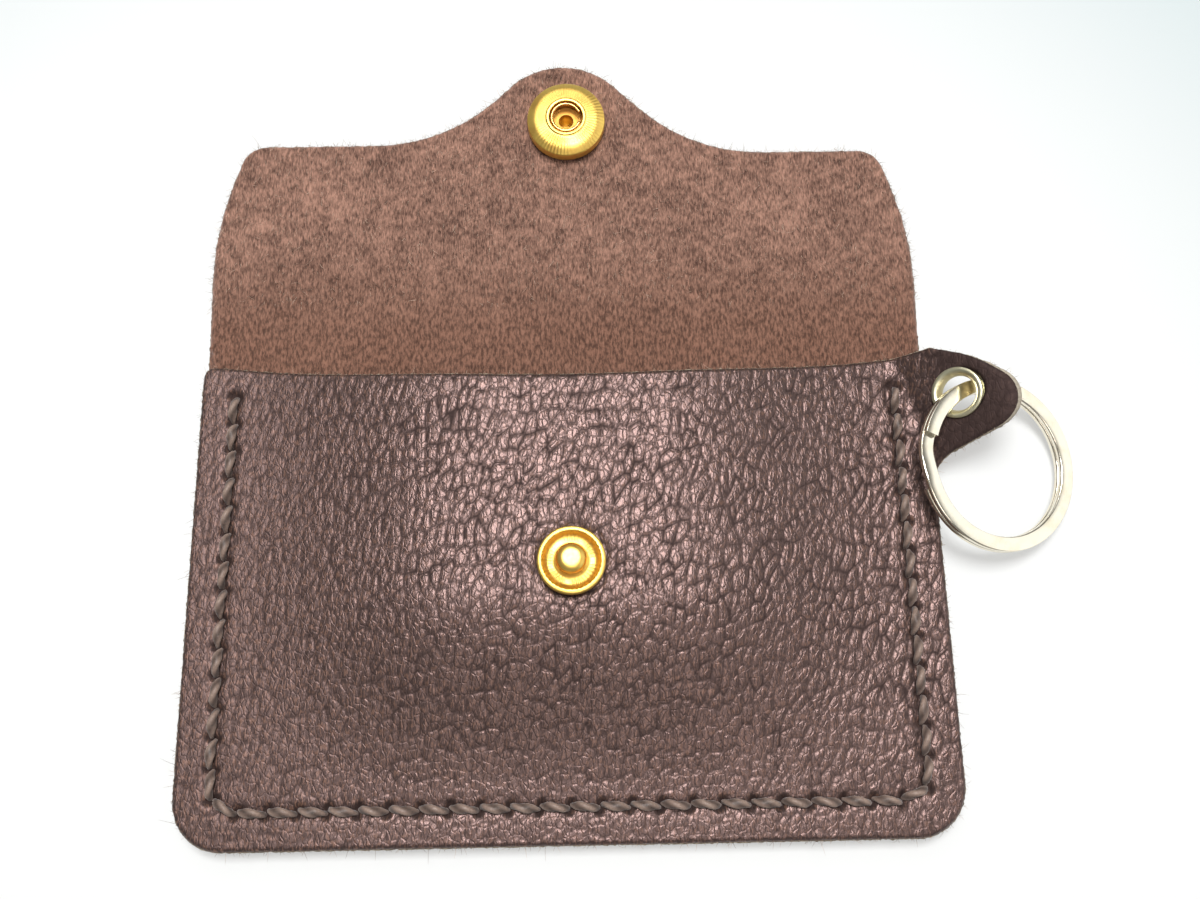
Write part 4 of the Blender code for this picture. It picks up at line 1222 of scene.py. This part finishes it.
BRASS = metal_finish("snap_brass", (0.88, 0.61, 0.15), (0.50, 0.20, 0.04), 0.36, 0.02)
SPRING_BRASS = metal_finish("spring_brass", (0.75, 0.42, 0.14), (0.35, 0.16, 0.05), 0.2, 0.01)
EYELET_METAL = metal_finish("eyelet_metal", (0.72, 0.70, 0.50), (0.48, 0.38, 0.18), 0.3, 0.014)
RING_METAL = metal_finish("ring_metal", (0.88, 0.83, 0.70), (0.70, 0.58, 0.36), 0.1, 0.006)
print("metals:", BRASS.name, SPRING_BRASS.name, EYELET_METAL.name, RING_METAL.name)

# %% [markdown]
# ## Turned pieces
# The snap's parts and the eyelet are pressed from sheet, round an axis. Each is a profile turned
# in many steps. A ripple can be added while it turns: pressing thin brass leaves fine radial
# wrinkles in the stud's dish and on the socket's shoulder.

# %% Turn a profile
PROFILE_ARC = 10           # degrees a step on a profile's rounded corners
PROFILE_STEP = 0.16
METAL_SHARP = math.radians(60)


def placed_by(matrix, points):
    """Points in mm, turned and moved by a matrix."""
    return points @ np.array(matrix.to_3x3()).T + np.array(matrix.translation)


def turned(name, corners, matrix, finish, ripple=None, steps=120, closed=False, shade=None):
    """Turn (radius, height, rounding) corners, outer side listed from the top down."""
    profile = evenly_kept(rounded(corners, PROFILE_ARC), PROFILE_STEP, closed)
    radius, height = profile[:, 0], profile[:, 1]
    angles = np.linspace(0, 2 * math.pi, steps, endpoint=False)
    r, a = np.meshgrid(radius, angles)
    z = np.broadcast_to(height, r.shape).copy()
    if ripple is not None:
        z += ripple(r, a)
    local = np.column_stack([(r * np.cos(a)).ravel(), (r * np.sin(a)).ravel(), z.ravel()])
    count = len(profile)
    here = np.arange(steps)[:, None] * count
    ahead = np.roll(here, -1, axis=0)
    ring = np.arange(count if closed else count - 1)[None, :]
    after = (ring + 1) % count
    quads = np.stack([here + ring, here + after, ahead + after, ahead + ring], -1).reshape(-1, 4)
    dark = np.zeros(len(local)) if shade is None else shade(r, z).ravel()
    made = new_object(name, placed_by(matrix, local), [quads], [finish], {"shade": dark})
    close_up(made.data)
    return made


def evenly_kept(profile, step, closed):
    """The profile with points added along its long straight runs."""
    ends = np.roll(profile, -1, axis=0)
    if not closed:
        ends[-1] = profile[-1]
    line = []
    for start, end in zip(profile, ends):
        pieces = max(1, math.ceil(np.linalg.norm(end - start) / step))
        line += [start + (end - start) * k / pieces for k in range(pieces)]
    return np.array(line)


def close_up(mesh):
    """Joins the points on the axis, and turns every face outward."""
    shape = bmesh.new()
    shape.from_mesh(mesh)
    bmesh.ops.remove_doubles(shape, verts=shape.verts, dist=0.0005 * MM)
    bmesh.ops.recalc_face_normals(shape, faces=shape.faces)
    shape.to_mesh(mesh)
    shape.free()
    mesh.shade_smooth()
    mesh.set_sharp_from_angle(angle=METAL_SHARP)


rod = evenly_kept(rounded([(0, 1, 0), (1, 1, 0), (1, 0, 0)]), PROFILE_STEP, False)
print("a plain rod's profile has", len(rod), "points")

# %% [markdown]
# ## The stud
# The stud is a small dish with a rolled rim and a ball on a neck in its middle. The ball is what
# the socket snaps over, and dirt gathers round its neck. Its foot is pressed into the leather.
# The post that holds it from inside the pocket hardly shows, so the solid itself stays, in brass.

# %% Stud
SEAT_GAP = 0.15
CROWN_TOP = float(front_under(STUD_X, STUD_Y)) + LEATHER
WAVES = 4                  # sine waves that a wrinkle is summed from
WRINKLE_FADE = 0.3


def wrinkles(inner, outer, count, depth, seed):
    """Radial wrinkles between two radii, as a height to add."""
    rng = np.random.default_rng(seed)
    phases, counts = rng.uniform(0, 6.28, WAVES), count + rng.integers(-9, 9, WAVES)

    def ripple(r, a):
        wave = sum(np.sin(n * a + p) for n, p in zip(counts, phases)) / WAVES
        return depth * wave * smooth((r - inner) / WRINKLE_FADE) * smooth((outer - r) / WRINKLE_FADE)

    return ripple


STUD_PROFILE = [(0, 3.0, 0), (1.95, 2.95, 1.0), (1.95, 2.15, 0.4), (1.5, 1.9, 0.1), (1.5, 1.0, 0.2),
                (2.3, 0.5, 0.8), (3.3, 0.5, 0.7), (3.85, 1.3, 0.3), (4.45, 1.2, 0.3), (4.45, 0.15, 0.25),
                (0.95, 0.15, 0), (0.95, 1.95, 0), (0, 1.95, 0)]


def stud_shade(r, z):
    """Tarnish round the neck."""
    return np.exp(-((r - 1.7) / 0.3) ** 2) * (z < 2.0)


stud = turned("stud", STUD_PROFILE, Matrix.Translation((STUD_X, STUD_Y, CROWN_TOP)), BRASS,
              wrinkles(2.4, 4.0, 46, 0.07, 3), 276, shade=stud_shade)
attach(stud, "pocket")
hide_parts("snap_stud")
post = frame["nodes"]["stud_post"].data
post.materials.clear()
post.materials.append(BRASS)

# %% [markdown]
# ## Socket and cap
# The socket is a broad ring of brass with a hole for the ball. A domed cap on the flap's other side
# carries it on a hollow post, which is flared over inside the socket. Fingers don't reach into the hole,
# so both are tarnished there, and the dark colour there is also painted shade, which makes the hole look
# deep.

# %% Socket and cap
SNAP_FRAME = FLAP_FRAME @ Matrix.Translation((SNAP_SIDE, SNAP_REACH, 0))
SOCKET_PROFILE = [(2.45, 2.3, 0.08), (2.4, 2.72, 0.12), (2.75, 2.75, 0.12), (2.9, 2.6, 0.2),
                  (4.6, 2.3, 1.6), (5.6, 1.7, 0.35), (5.6, 0.15, 0.2), (1.65, 0.15, 0),
                  (1.65, 0.6, 0), (2.75, 0.6, 0.2), (2.75, 2.2, 0.1)]


def socket_shade(r, z):
    """Dark copper-coloured tarnish inside the hole, also painted shade that makes the hole look deep."""
    return smooth((2.65 - z) / 0.4) * (r < 2.8)


socket = turned("socket", SOCKET_PROFILE, SNAP_FRAME, BRASS, wrinkles(3.0, 5.75, 66, 0.05, 4), 300,
                closed=True, shade=socket_shade)
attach(socket, "flap")
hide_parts("snap_socket")

CAP_PROFILE = [(0, -1.75, 0), (1.0, -1.75, 0), (1.0, 1.05, 0.1), (2.2, 1.05, 0.15), (2.2, 0.75, 0.05),
               (1.5, 0.75, 0), (1.5, -1.75, 0), (6.25, -1.75, 0.15), (6.25, -2.5, 0.5),
               (4.9, -4.1, 2.4), (0, -4.75, 0)]


def cap_shade(r, z):
    """The flare of the post, deep in the socket, is tarnished too and painted dark as painted shade."""
    return 0.9 * smooth((z + 0.2) / 0.6) * smooth((4 - r) / 0.5)


cap = turned("cap", CAP_PROFILE, SNAP_FRAME, BRASS, shade=cap_shade)
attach(cap, "flap")
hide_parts("snap_cap")

# %% [markdown]
# ## The spring
# Inside the socket an open hoop of wire grips the ball. On the real snap it gives as the ball
# goes in. Here it stays as it is, because nothing in the model can give. It is a tube along
# most of a circle, of a redder brass than the rest.

# %% Spring
SPRING_RADIUS, SPRING_WIRE, SPRING_HEIGHT = 2.05, 0.22, 2.42
SPRING_MOUTH = 40          # degrees left open
SPRING_STEPS, WIRE_SIDES = 60, 12

sweep = np.radians(np.linspace(SPRING_MOUTH / 2, 360 - SPRING_MOUTH / 2, SPRING_STEPS))
hoop = np.column_stack([SPRING_RADIUS * np.cos(sweep), SPRING_RADIUS * np.sin(sweep),
                        np.full(SPRING_STEPS, SPRING_HEIGHT)])
wire = np.linspace(0, 2 * math.pi, WIRE_SIDES, endpoint=False)
wire = SPRING_WIRE * np.column_stack([np.cos(wire), np.sin(wire)])
spring = tube("spring", placed_by(SNAP_FRAME, hoop), lambda k: wire, SPRING_BRASS)
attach(spring, "flap")
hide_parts("socket_spring")

# %% [markdown]
# ## The eyelet
# A rolled eyelet: its throat curves from one crest to the other, and its rims grip the ear. It is
# placed on the ring's joint, whose axis is the eyelet's own.

# %% Eyelet
EYE_FRAME = Matrix.Translation(EYE) @ EYE_AXIS.to_track_quat("Z", "Y").to_matrix().to_4x4()
EYELET_SEAT = LEATHER / 2 + SEAT_GAP      # where the rims lie, from the ear's middle
EYELET_HALF = EYELET_SEAT + 0.3
EYELET_THROAT, EYELET_CREST, EYELET_RIM = 2.35, 3.15, 3.5
RIM_EDGE = (EYELET_RIM - 0.08, EYELET_SEAT + 0.23)


def eyelet_profile():
    """The throat's arc, then the outer side of one rim, the barrel and the other rim."""
    swell = EYELET_CREST - EYELET_THROAT
    throat = [(EYELET_CREST + swell * math.cos(t), EYELET_HALF * math.sin(t), 0)
              for t in np.radians(np.linspace(-90, -270, 19))]
    edge, height = RIM_EDGE
    return [*throat, (edge, height, 0.08), (EYELET_RIM, EYELET_SEAT, 0.05),
            (EYELET_BARREL, EYELET_SEAT, 0), (EYELET_BARREL, -EYELET_SEAT, 0),
            (EYELET_RIM, -EYELET_SEAT, 0.05), (edge, -height, 0.08)]


def eyelet_shade(r, z):
    """Tarnish in the throat, where the ring doesn't rub."""
    return 0.8 * smooth((2.9 - r) / 0.5)


eyelet = turned("eyelet", eyelet_profile(), EYE_FRAME, EYELET_METAL, steps=96, closed=True,
                shade=eyelet_shade)
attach(eyelet, "pocket")
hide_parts("tab_eyelet")

# %% [markdown]
# ## The split ring
# Flat wire wound in two turns that lie tight on each other, with a step where one turn climbs
# over the other's end. It hangs in the eyelet and leans on the table. The place is worked out as
# the solid's is, from the eyelet and three angles. The turns are thicker here than the solid's
# and nearly touch, as on the real ring.

# %% Split ring
RING_RADIUS, RING_BAND = 11.9, 2.0
RING_TILT, RING_AZIMUTH, RING_HANG = (math.radians(v) for v in (18.7, -11, -63.4))
RING_SETTLE = 0.1
RING_JOG, RING_JOG_SWEEP, RING_END_GAP = 163, 32, 3
RING_STEPS = 420
TURN_THICK, TURN_PITCH = 0.76, 0.80
RING_CORNER = 0.22
RING_SHARP = math.radians(40)


def ring_matrix():
    """Where the ring lies, from the eyelet, its tilt and the way it hangs."""
    normal = Vector((math.sin(RING_TILT) * math.cos(RING_AZIMUTH),
                     math.sin(RING_TILT) * math.sin(RING_AZIMUTH), math.cos(RING_TILT)))
    flat = Vector((math.cos(RING_HANG), math.sin(RING_HANG), 0))
    flat.z = -flat.dot(normal) / normal.z
    toward = flat.normalized()
    centre = EYE + toward * (RING_RADIUS - RING_BAND / 2 - RING_SETTLE) + normal * RING_SETTLE
    turn = Matrix((toward, normal.cross(toward), normal)).transposed().to_4x4()
    return Matrix.Translation(centre) @ turn @ Matrix.Rotation(-RING_HANG, 4, "Z")


def split_ring():
    """The flat wire along its two turns, which climb from one to the other at the jog."""
    start = RING_JOG + RING_JOG_SWEEP + RING_END_GAP - 360
    stop = RING_JOG + 360 - RING_END_GAP
    angles = np.linspace(start, stop, RING_STEPS)
    climb = TURN_PITCH * (smooth((angles - RING_JOG) / RING_JOG_SWEEP) - 0.5)
    middle = RING_RADIUS - RING_BAND / 2
    matrix = ring_matrix()
    turns = np.radians(angles)
    local = np.column_stack([middle * np.cos(turns), middle * np.sin(turns), climb])
    band, thick = RING_BAND / 2, TURN_THICK / 2
    section = rounded([(-band, -thick, RING_CORNER), (band, -thick, RING_CORNER),
                       (band, thick, RING_CORNER), (-band, thick, RING_CORNER)], 30)
    return tube("key_ring", placed_by(matrix, local), lambda k: section, RING_METAL,
                up=np.array(matrix.col[2][:3]))


ring = split_ring()
ring.data.set_sharp_from_angle(angle=RING_SHARP)
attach(ring, "ring")
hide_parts("split_ring")

# %% [markdown]
# ## Loose fibres
# Cut leather sheds and stands up along its edges, and short hairs break the clean outline there.
# Each is a thin three-sided spike that bends as it runs, because a hair of real width would be
# far too many faces as a round tube.

# %% Fibre spikes
def fibre_finish():
    finish = Finish("loose_fibre", Roughness=0.8, Specular_IOR_Level=0.3)
    share = finish.attribute("ply")
    return finish.surface(Base_Color=finish.mix(share, (0.12, 0.07, 0.05), (0.62, 0.47, 0.36)))


FIBRE = fibre_finish()
HAIR_SHARES = np.array([0.0, 0.4, 0.75, 1.0])      # along a hair
HAIR_THIN = np.array([1.0, 0.9, 0.7, 0.3])         # its thickness there
HAIR_CURL = 0.35
HAIR_POINTS = 3 * len(HAIR_SHARES)


def spikes(name, roots, leans, lengths, radius, seed):
    """Hairs from root points, leaning a way of their own and bending as they run."""
    rng = np.random.default_rng(seed)
    count = len(roots)
    leans = leans / np.linalg.norm(leans, axis=1)[:, None]
    curl = rng.normal(0, HAIR_CURL, (count, 3))
    middle = (roots[:, None, :] + leans[:, None, :] * (lengths[:, None] * HAIR_SHARES)[:, :, None]
              + curl[:, None, :] * (lengths[:, None] * HAIR_SHARES ** 2)[:, :, None])
    side = np.cross(leans, rng.normal(0, 1, (count, 3)))
    side /= np.linalg.norm(side, axis=1)[:, None]
    other = np.cross(leans, side)
    angles = np.radians([0, 120, 240])
    ring = (np.cos(angles)[None, None, :, None] * side[:, None, None, :]
            + np.sin(angles)[None, None, :, None] * other[:, None, None, :])
    points = middle[:, :, None, :] + ring * (radius * HAIR_THIN)[None, :, None, None]
    base = np.arange(count)[:, None] * HAIR_POINTS
    quads = []
    for k in range(len(HAIR_SHARES) - 1):
        for j in range(3):
            here, ahead = 3 * k + j, 3 * k + (j + 1) % 3
            quads.append(base + np.array([[here, ahead, ahead + 3, here + 3]]))
    tips = [base + np.array([[2, 1, 0]]), base + HAIR_POINTS - np.array([[3, 2, 1]])]
    pale = np.repeat(rng.uniform(0, 1, count) ** 1.5, HAIR_POINTS)
    return new_object(name, points.reshape(-1, 3), [np.vstack(quads), np.vstack(tips)],
                      [FIBRE, FIBRE], {"ply": pale})


print("a hair has", HAIR_POINTS, "points")

# %% [markdown]
# ## Hairs along the cut edges
# Roots are picked at random along a piece's outline and in the thickness of its cut edge. The
# flap sheds the most. On the long hide no hair stands near a crease, where the bend would leave
# it hanging in the air.

# %% Edge hairs
EDGE_HAIR_RADIUS = 0.022


def edge_hairs(name, loop, place, body, density, seed, keep=None):
    """Hairs that stand out of a cut edge, so many a mm, where keep says so."""
    rng = np.random.default_rng(seed)
    out = outward(loop)
    count = int(len(loop) * RIM_STEP * density)
    pick = rng.integers(0, len(loop), count)
    if keep is not None:
        pick = pick[keep(loop[pick])]
    depth = rng.uniform(0.1, 1.5, len(pick))
    start = loop[pick] - out[pick] * 0.05
    end = start + out[pick] * 0.5 + rng.normal(0, 0.35, start.shape)
    roots = place(start[:, 0], start[:, 1], depth)
    heads = place(end[:, 0], end[:, 1], depth + rng.normal(0, 0.25, len(pick)))
    lengths = rng.gamma(2.2, 0.16, len(pick)) + 0.12
    hairs = spikes(name, roots, heads - roots, lengths, EDGE_HAIR_RADIUS, seed + 1)
    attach(hairs, body)


edge_hairs("flap_edge_hairs", flap_loops[0], hide_place, "flap", 9, 51,
           lambda p: p[:, 1] > SPINE + CREASE_BEND)
edge_hairs("front_edge_hairs", front_loops()[0], front_place, "pocket", 3.5, 52)
edge_hairs("back_edge_hairs", back_outline(), hide_place, "pocket", 3.5, 53,
           lambda p: p[:, 1] < -CREASE_BEND)

# %% [markdown]
# ## Nap hairs on the flap
# Stray pale fibres lie on the suede, most of them brushed towards the fold. They are scattered
# over the flap's outline, without the bend at the crease, which would pull them off, and without
# the socket. Their roots are in the leather, and their heads stand a little out of it.

# %% Nap hairs
NAP_HAIR_RADIUS = 0.024
NAP_CLEAR = 6.2            # free of hairs, from the middle of the socket
NAP_DEPTH = 0.12           # the roots are in the suede by this, and the heads as far above it


def nap_hairs(count, seed):
    """Hairs scattered evenly over the flap's suede."""
    rng = np.random.default_rng(seed)
    low, high = flap_loops[0].min(0), flap_loops[0].max(0)
    spots = rng.uniform(low, high, (3 * count, 2))
    spots = spots[spots[:, 1] > SPINE + CREASE_BEND]
    spots = spots[np.argsort(spots[:, 1])]
    spots = spots[points_inside(flap_loops[:1], spots)]
    from_snap = np.hypot(spots[:, 0] - SNAP_SIDE, spots[:, 1] - SPINE - SNAP_REACH)
    spots = spots[from_snap > NAP_CLEAR]
    spots = spots[rng.permutation(len(spots))[:count]]
    aside, ahead = rng.normal(0, 0.25, len(spots)), rng.normal(-0.6, 0.5, len(spots))
    ends = spots + np.column_stack([aside, ahead])
    depth = np.full(len(spots), NAP_DEPTH)
    roots = hide_place(spots[:, 0], spots[:, 1], depth)
    heads = hide_place(ends[:, 0], ends[:, 1], -depth)
    lengths = rng.gamma(3, 0.16, len(spots)) + 0.15
    hairs = spikes("nap_hairs", roots, heads - roots, lengths, NAP_HAIR_RADIUS, seed + 1)
    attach(hairs, "flap")


nap_hairs(5000, 61)

# %% [markdown]
# ## The floor
# The table is plain and nearly white near the wallet, and turns cooler and darker further out,
# as light falls off towards a room's walls. To look white without so much light that the leather
# would wash out, part of what the camera and shiny things see there glows by itself. The other
# part is lit as usual, and that part keeps the shadow.

# %% Floor
FLOOR_MIDDLE = (-15 * MM, -15 * MM, 0)
FLOOR_NEAR, FLOOR_FAR = 95 * MM, 200 * MM      # from there the tint begins, to where it is full
FLOOR_GLOW = 0.45
FLOOR_SIZE, FLOOR_DROP = 6, 0.02 * MM


def floor_finish():
    finish = Finish("floor", Roughness=0.6, Specular_IOR_Level=0.2)
    spot = finish.node("ShaderNodeTexCoord").outputs["Object"]
    away = finish.node("ShaderNodeVectorMath", {"operation": "DISTANCE"}, {0: spot, 1: FLOOR_MIDDLE})
    far = finish.between(away.outputs["Value"], FLOOR_NEAR, FLOOR_FAR)
    finish.surface(Base_Color=finish.mix(far, (0.66, 0.68, 0.68), (0.38, 0.47, 0.48)))
    path = finish.node("ShaderNodeLightPath")
    camera_ray, glossy_ray, clear_ray = (Value(finish, path.outputs[f"Is {kind} Ray"])
                                         for kind in ("Camera", "Glossy", "Transmission"))
    tint = finish.mix(far, (1.0, 1.0, 0.985), (0.70, 0.81, 0.82))
    glow = finish.node("ShaderNodeEmission", {}, {"Color": tint, "Strength": 1.0})
    share = (camera_ray + glossy_ray + clear_ray) * FLOOR_GLOW
    mixed = finish.node("ShaderNodeMixShader", {},
                        {0: share, 1: finish.shader.outputs[0], 2: glow.outputs[0]})
    finish.join(mixed.outputs[0], finish.tree.nodes["Material Output"].inputs["Surface"])
    return finish.material


bpy.ops.mesh.primitive_plane_add(size=FLOOR_SIZE, location=(0, 0, -FLOOR_DROP))
floor = bpy.context.object
floor.name = "floor"
floor.data.materials.append(floor_finish())
print("the floor is", FLOOR_SIZE, "m wide")

# %% [markdown]
# ## Lamps
# A broad, soft lamp like a window stands beyond the flap and throws the short shadow towards the
# viewer. The strongest hangs overhead, where the swollen front mirrors it to the camera: its
# size and its place shape the sheen round the stud. A weak warm one stands on the viewer's side
# and fills what the others leave dark. Together they light a white card to just about white.

# %% Lamps
def lamp(name, direction, distance, size, power, colour):
    """A soft square lamp that faces the wallet from a direction."""
    light = bpy.data.lights.new(name, "AREA")
    light.shape = "RECTANGLE"
    light.size, light.size_y = size
    light.energy = power
    light.color = colour
    holder = bpy.data.objects.new(name, light)
    bpy.context.scene.collection.objects.link(holder)
    away = Vector(direction).normalized()
    holder.location = away * distance
    holder.rotation_euler = away.to_track_quat("Z", "Y").to_euler()
    print("lamp:", name, "of", power, "W")


lamp("window", (-0.14, 0.66, 0.73), 0.9, (0.5, 0.4), 0.8, (1.0, 0.985, 0.96))
lamp("overhead", (0.0, 0.25, 0.965), 0.8, (0.34, 0.30), 7.6, (1.0, 0.985, 0.98))
lamp("reader", (0.12, -0.36, 0.92), 0.8, (0.36, 0.30), 1.2, (1.0, 0.90, 0.84))

# %% [markdown]
# ## The room
# The room lights everything with one even, slightly cool light. Polished metal needs something
# to mirror, though, or it looks like paint. So what shiny things see of the room is dim, with
# one bright wall to the right, which gives the split ring and the brass their light and dark
# edges.

# %% Room
ROOM_LIGHT = 0.26
WALL_FROM, WALL_TO = 0.64, 0.79     # how far to the right a direction points
WALL_DIM, WALL_BRIGHT = 0.22, 1.3


def room():
    """The world: even light, and a bright wall for what shiny things mirror."""
    world = bpy.data.worlds.new("world")
    world.use_nodes = True
    nodes = Nodes(world.node_tree)
    even = world.node_tree.nodes["Background"]
    nodes.join((0.92, 0.96, 1.0, 1), even.inputs["Color"])
    nodes.join(ROOM_LIGHT, even.inputs["Strength"])
    direction = nodes.node("ShaderNodeTexCoord").outputs["Generated"]
    bright = nodes.between(nodes.part(direction, "X"), WALL_FROM, WALL_TO, WALL_DIM, WALL_BRIGHT)
    walls = nodes.node("ShaderNodeBackground", {}, {"Color": (1.0, 1.0, 0.98, 1), "Strength": bright})
    glossy_ray = nodes.node("ShaderNodeLightPath").outputs["Is Glossy Ray"]
    choice = nodes.node("ShaderNodeMixShader", {},
                        {0: glossy_ray, 1: even.outputs[0], 2: walls.outputs[0]})
    nodes.join(choice.outputs[0], world.node_tree.nodes["World Output"].inputs["Surface"])
    return world


bpy.context.scene.world = room()
print("the room's light:", ROOM_LIGHT)
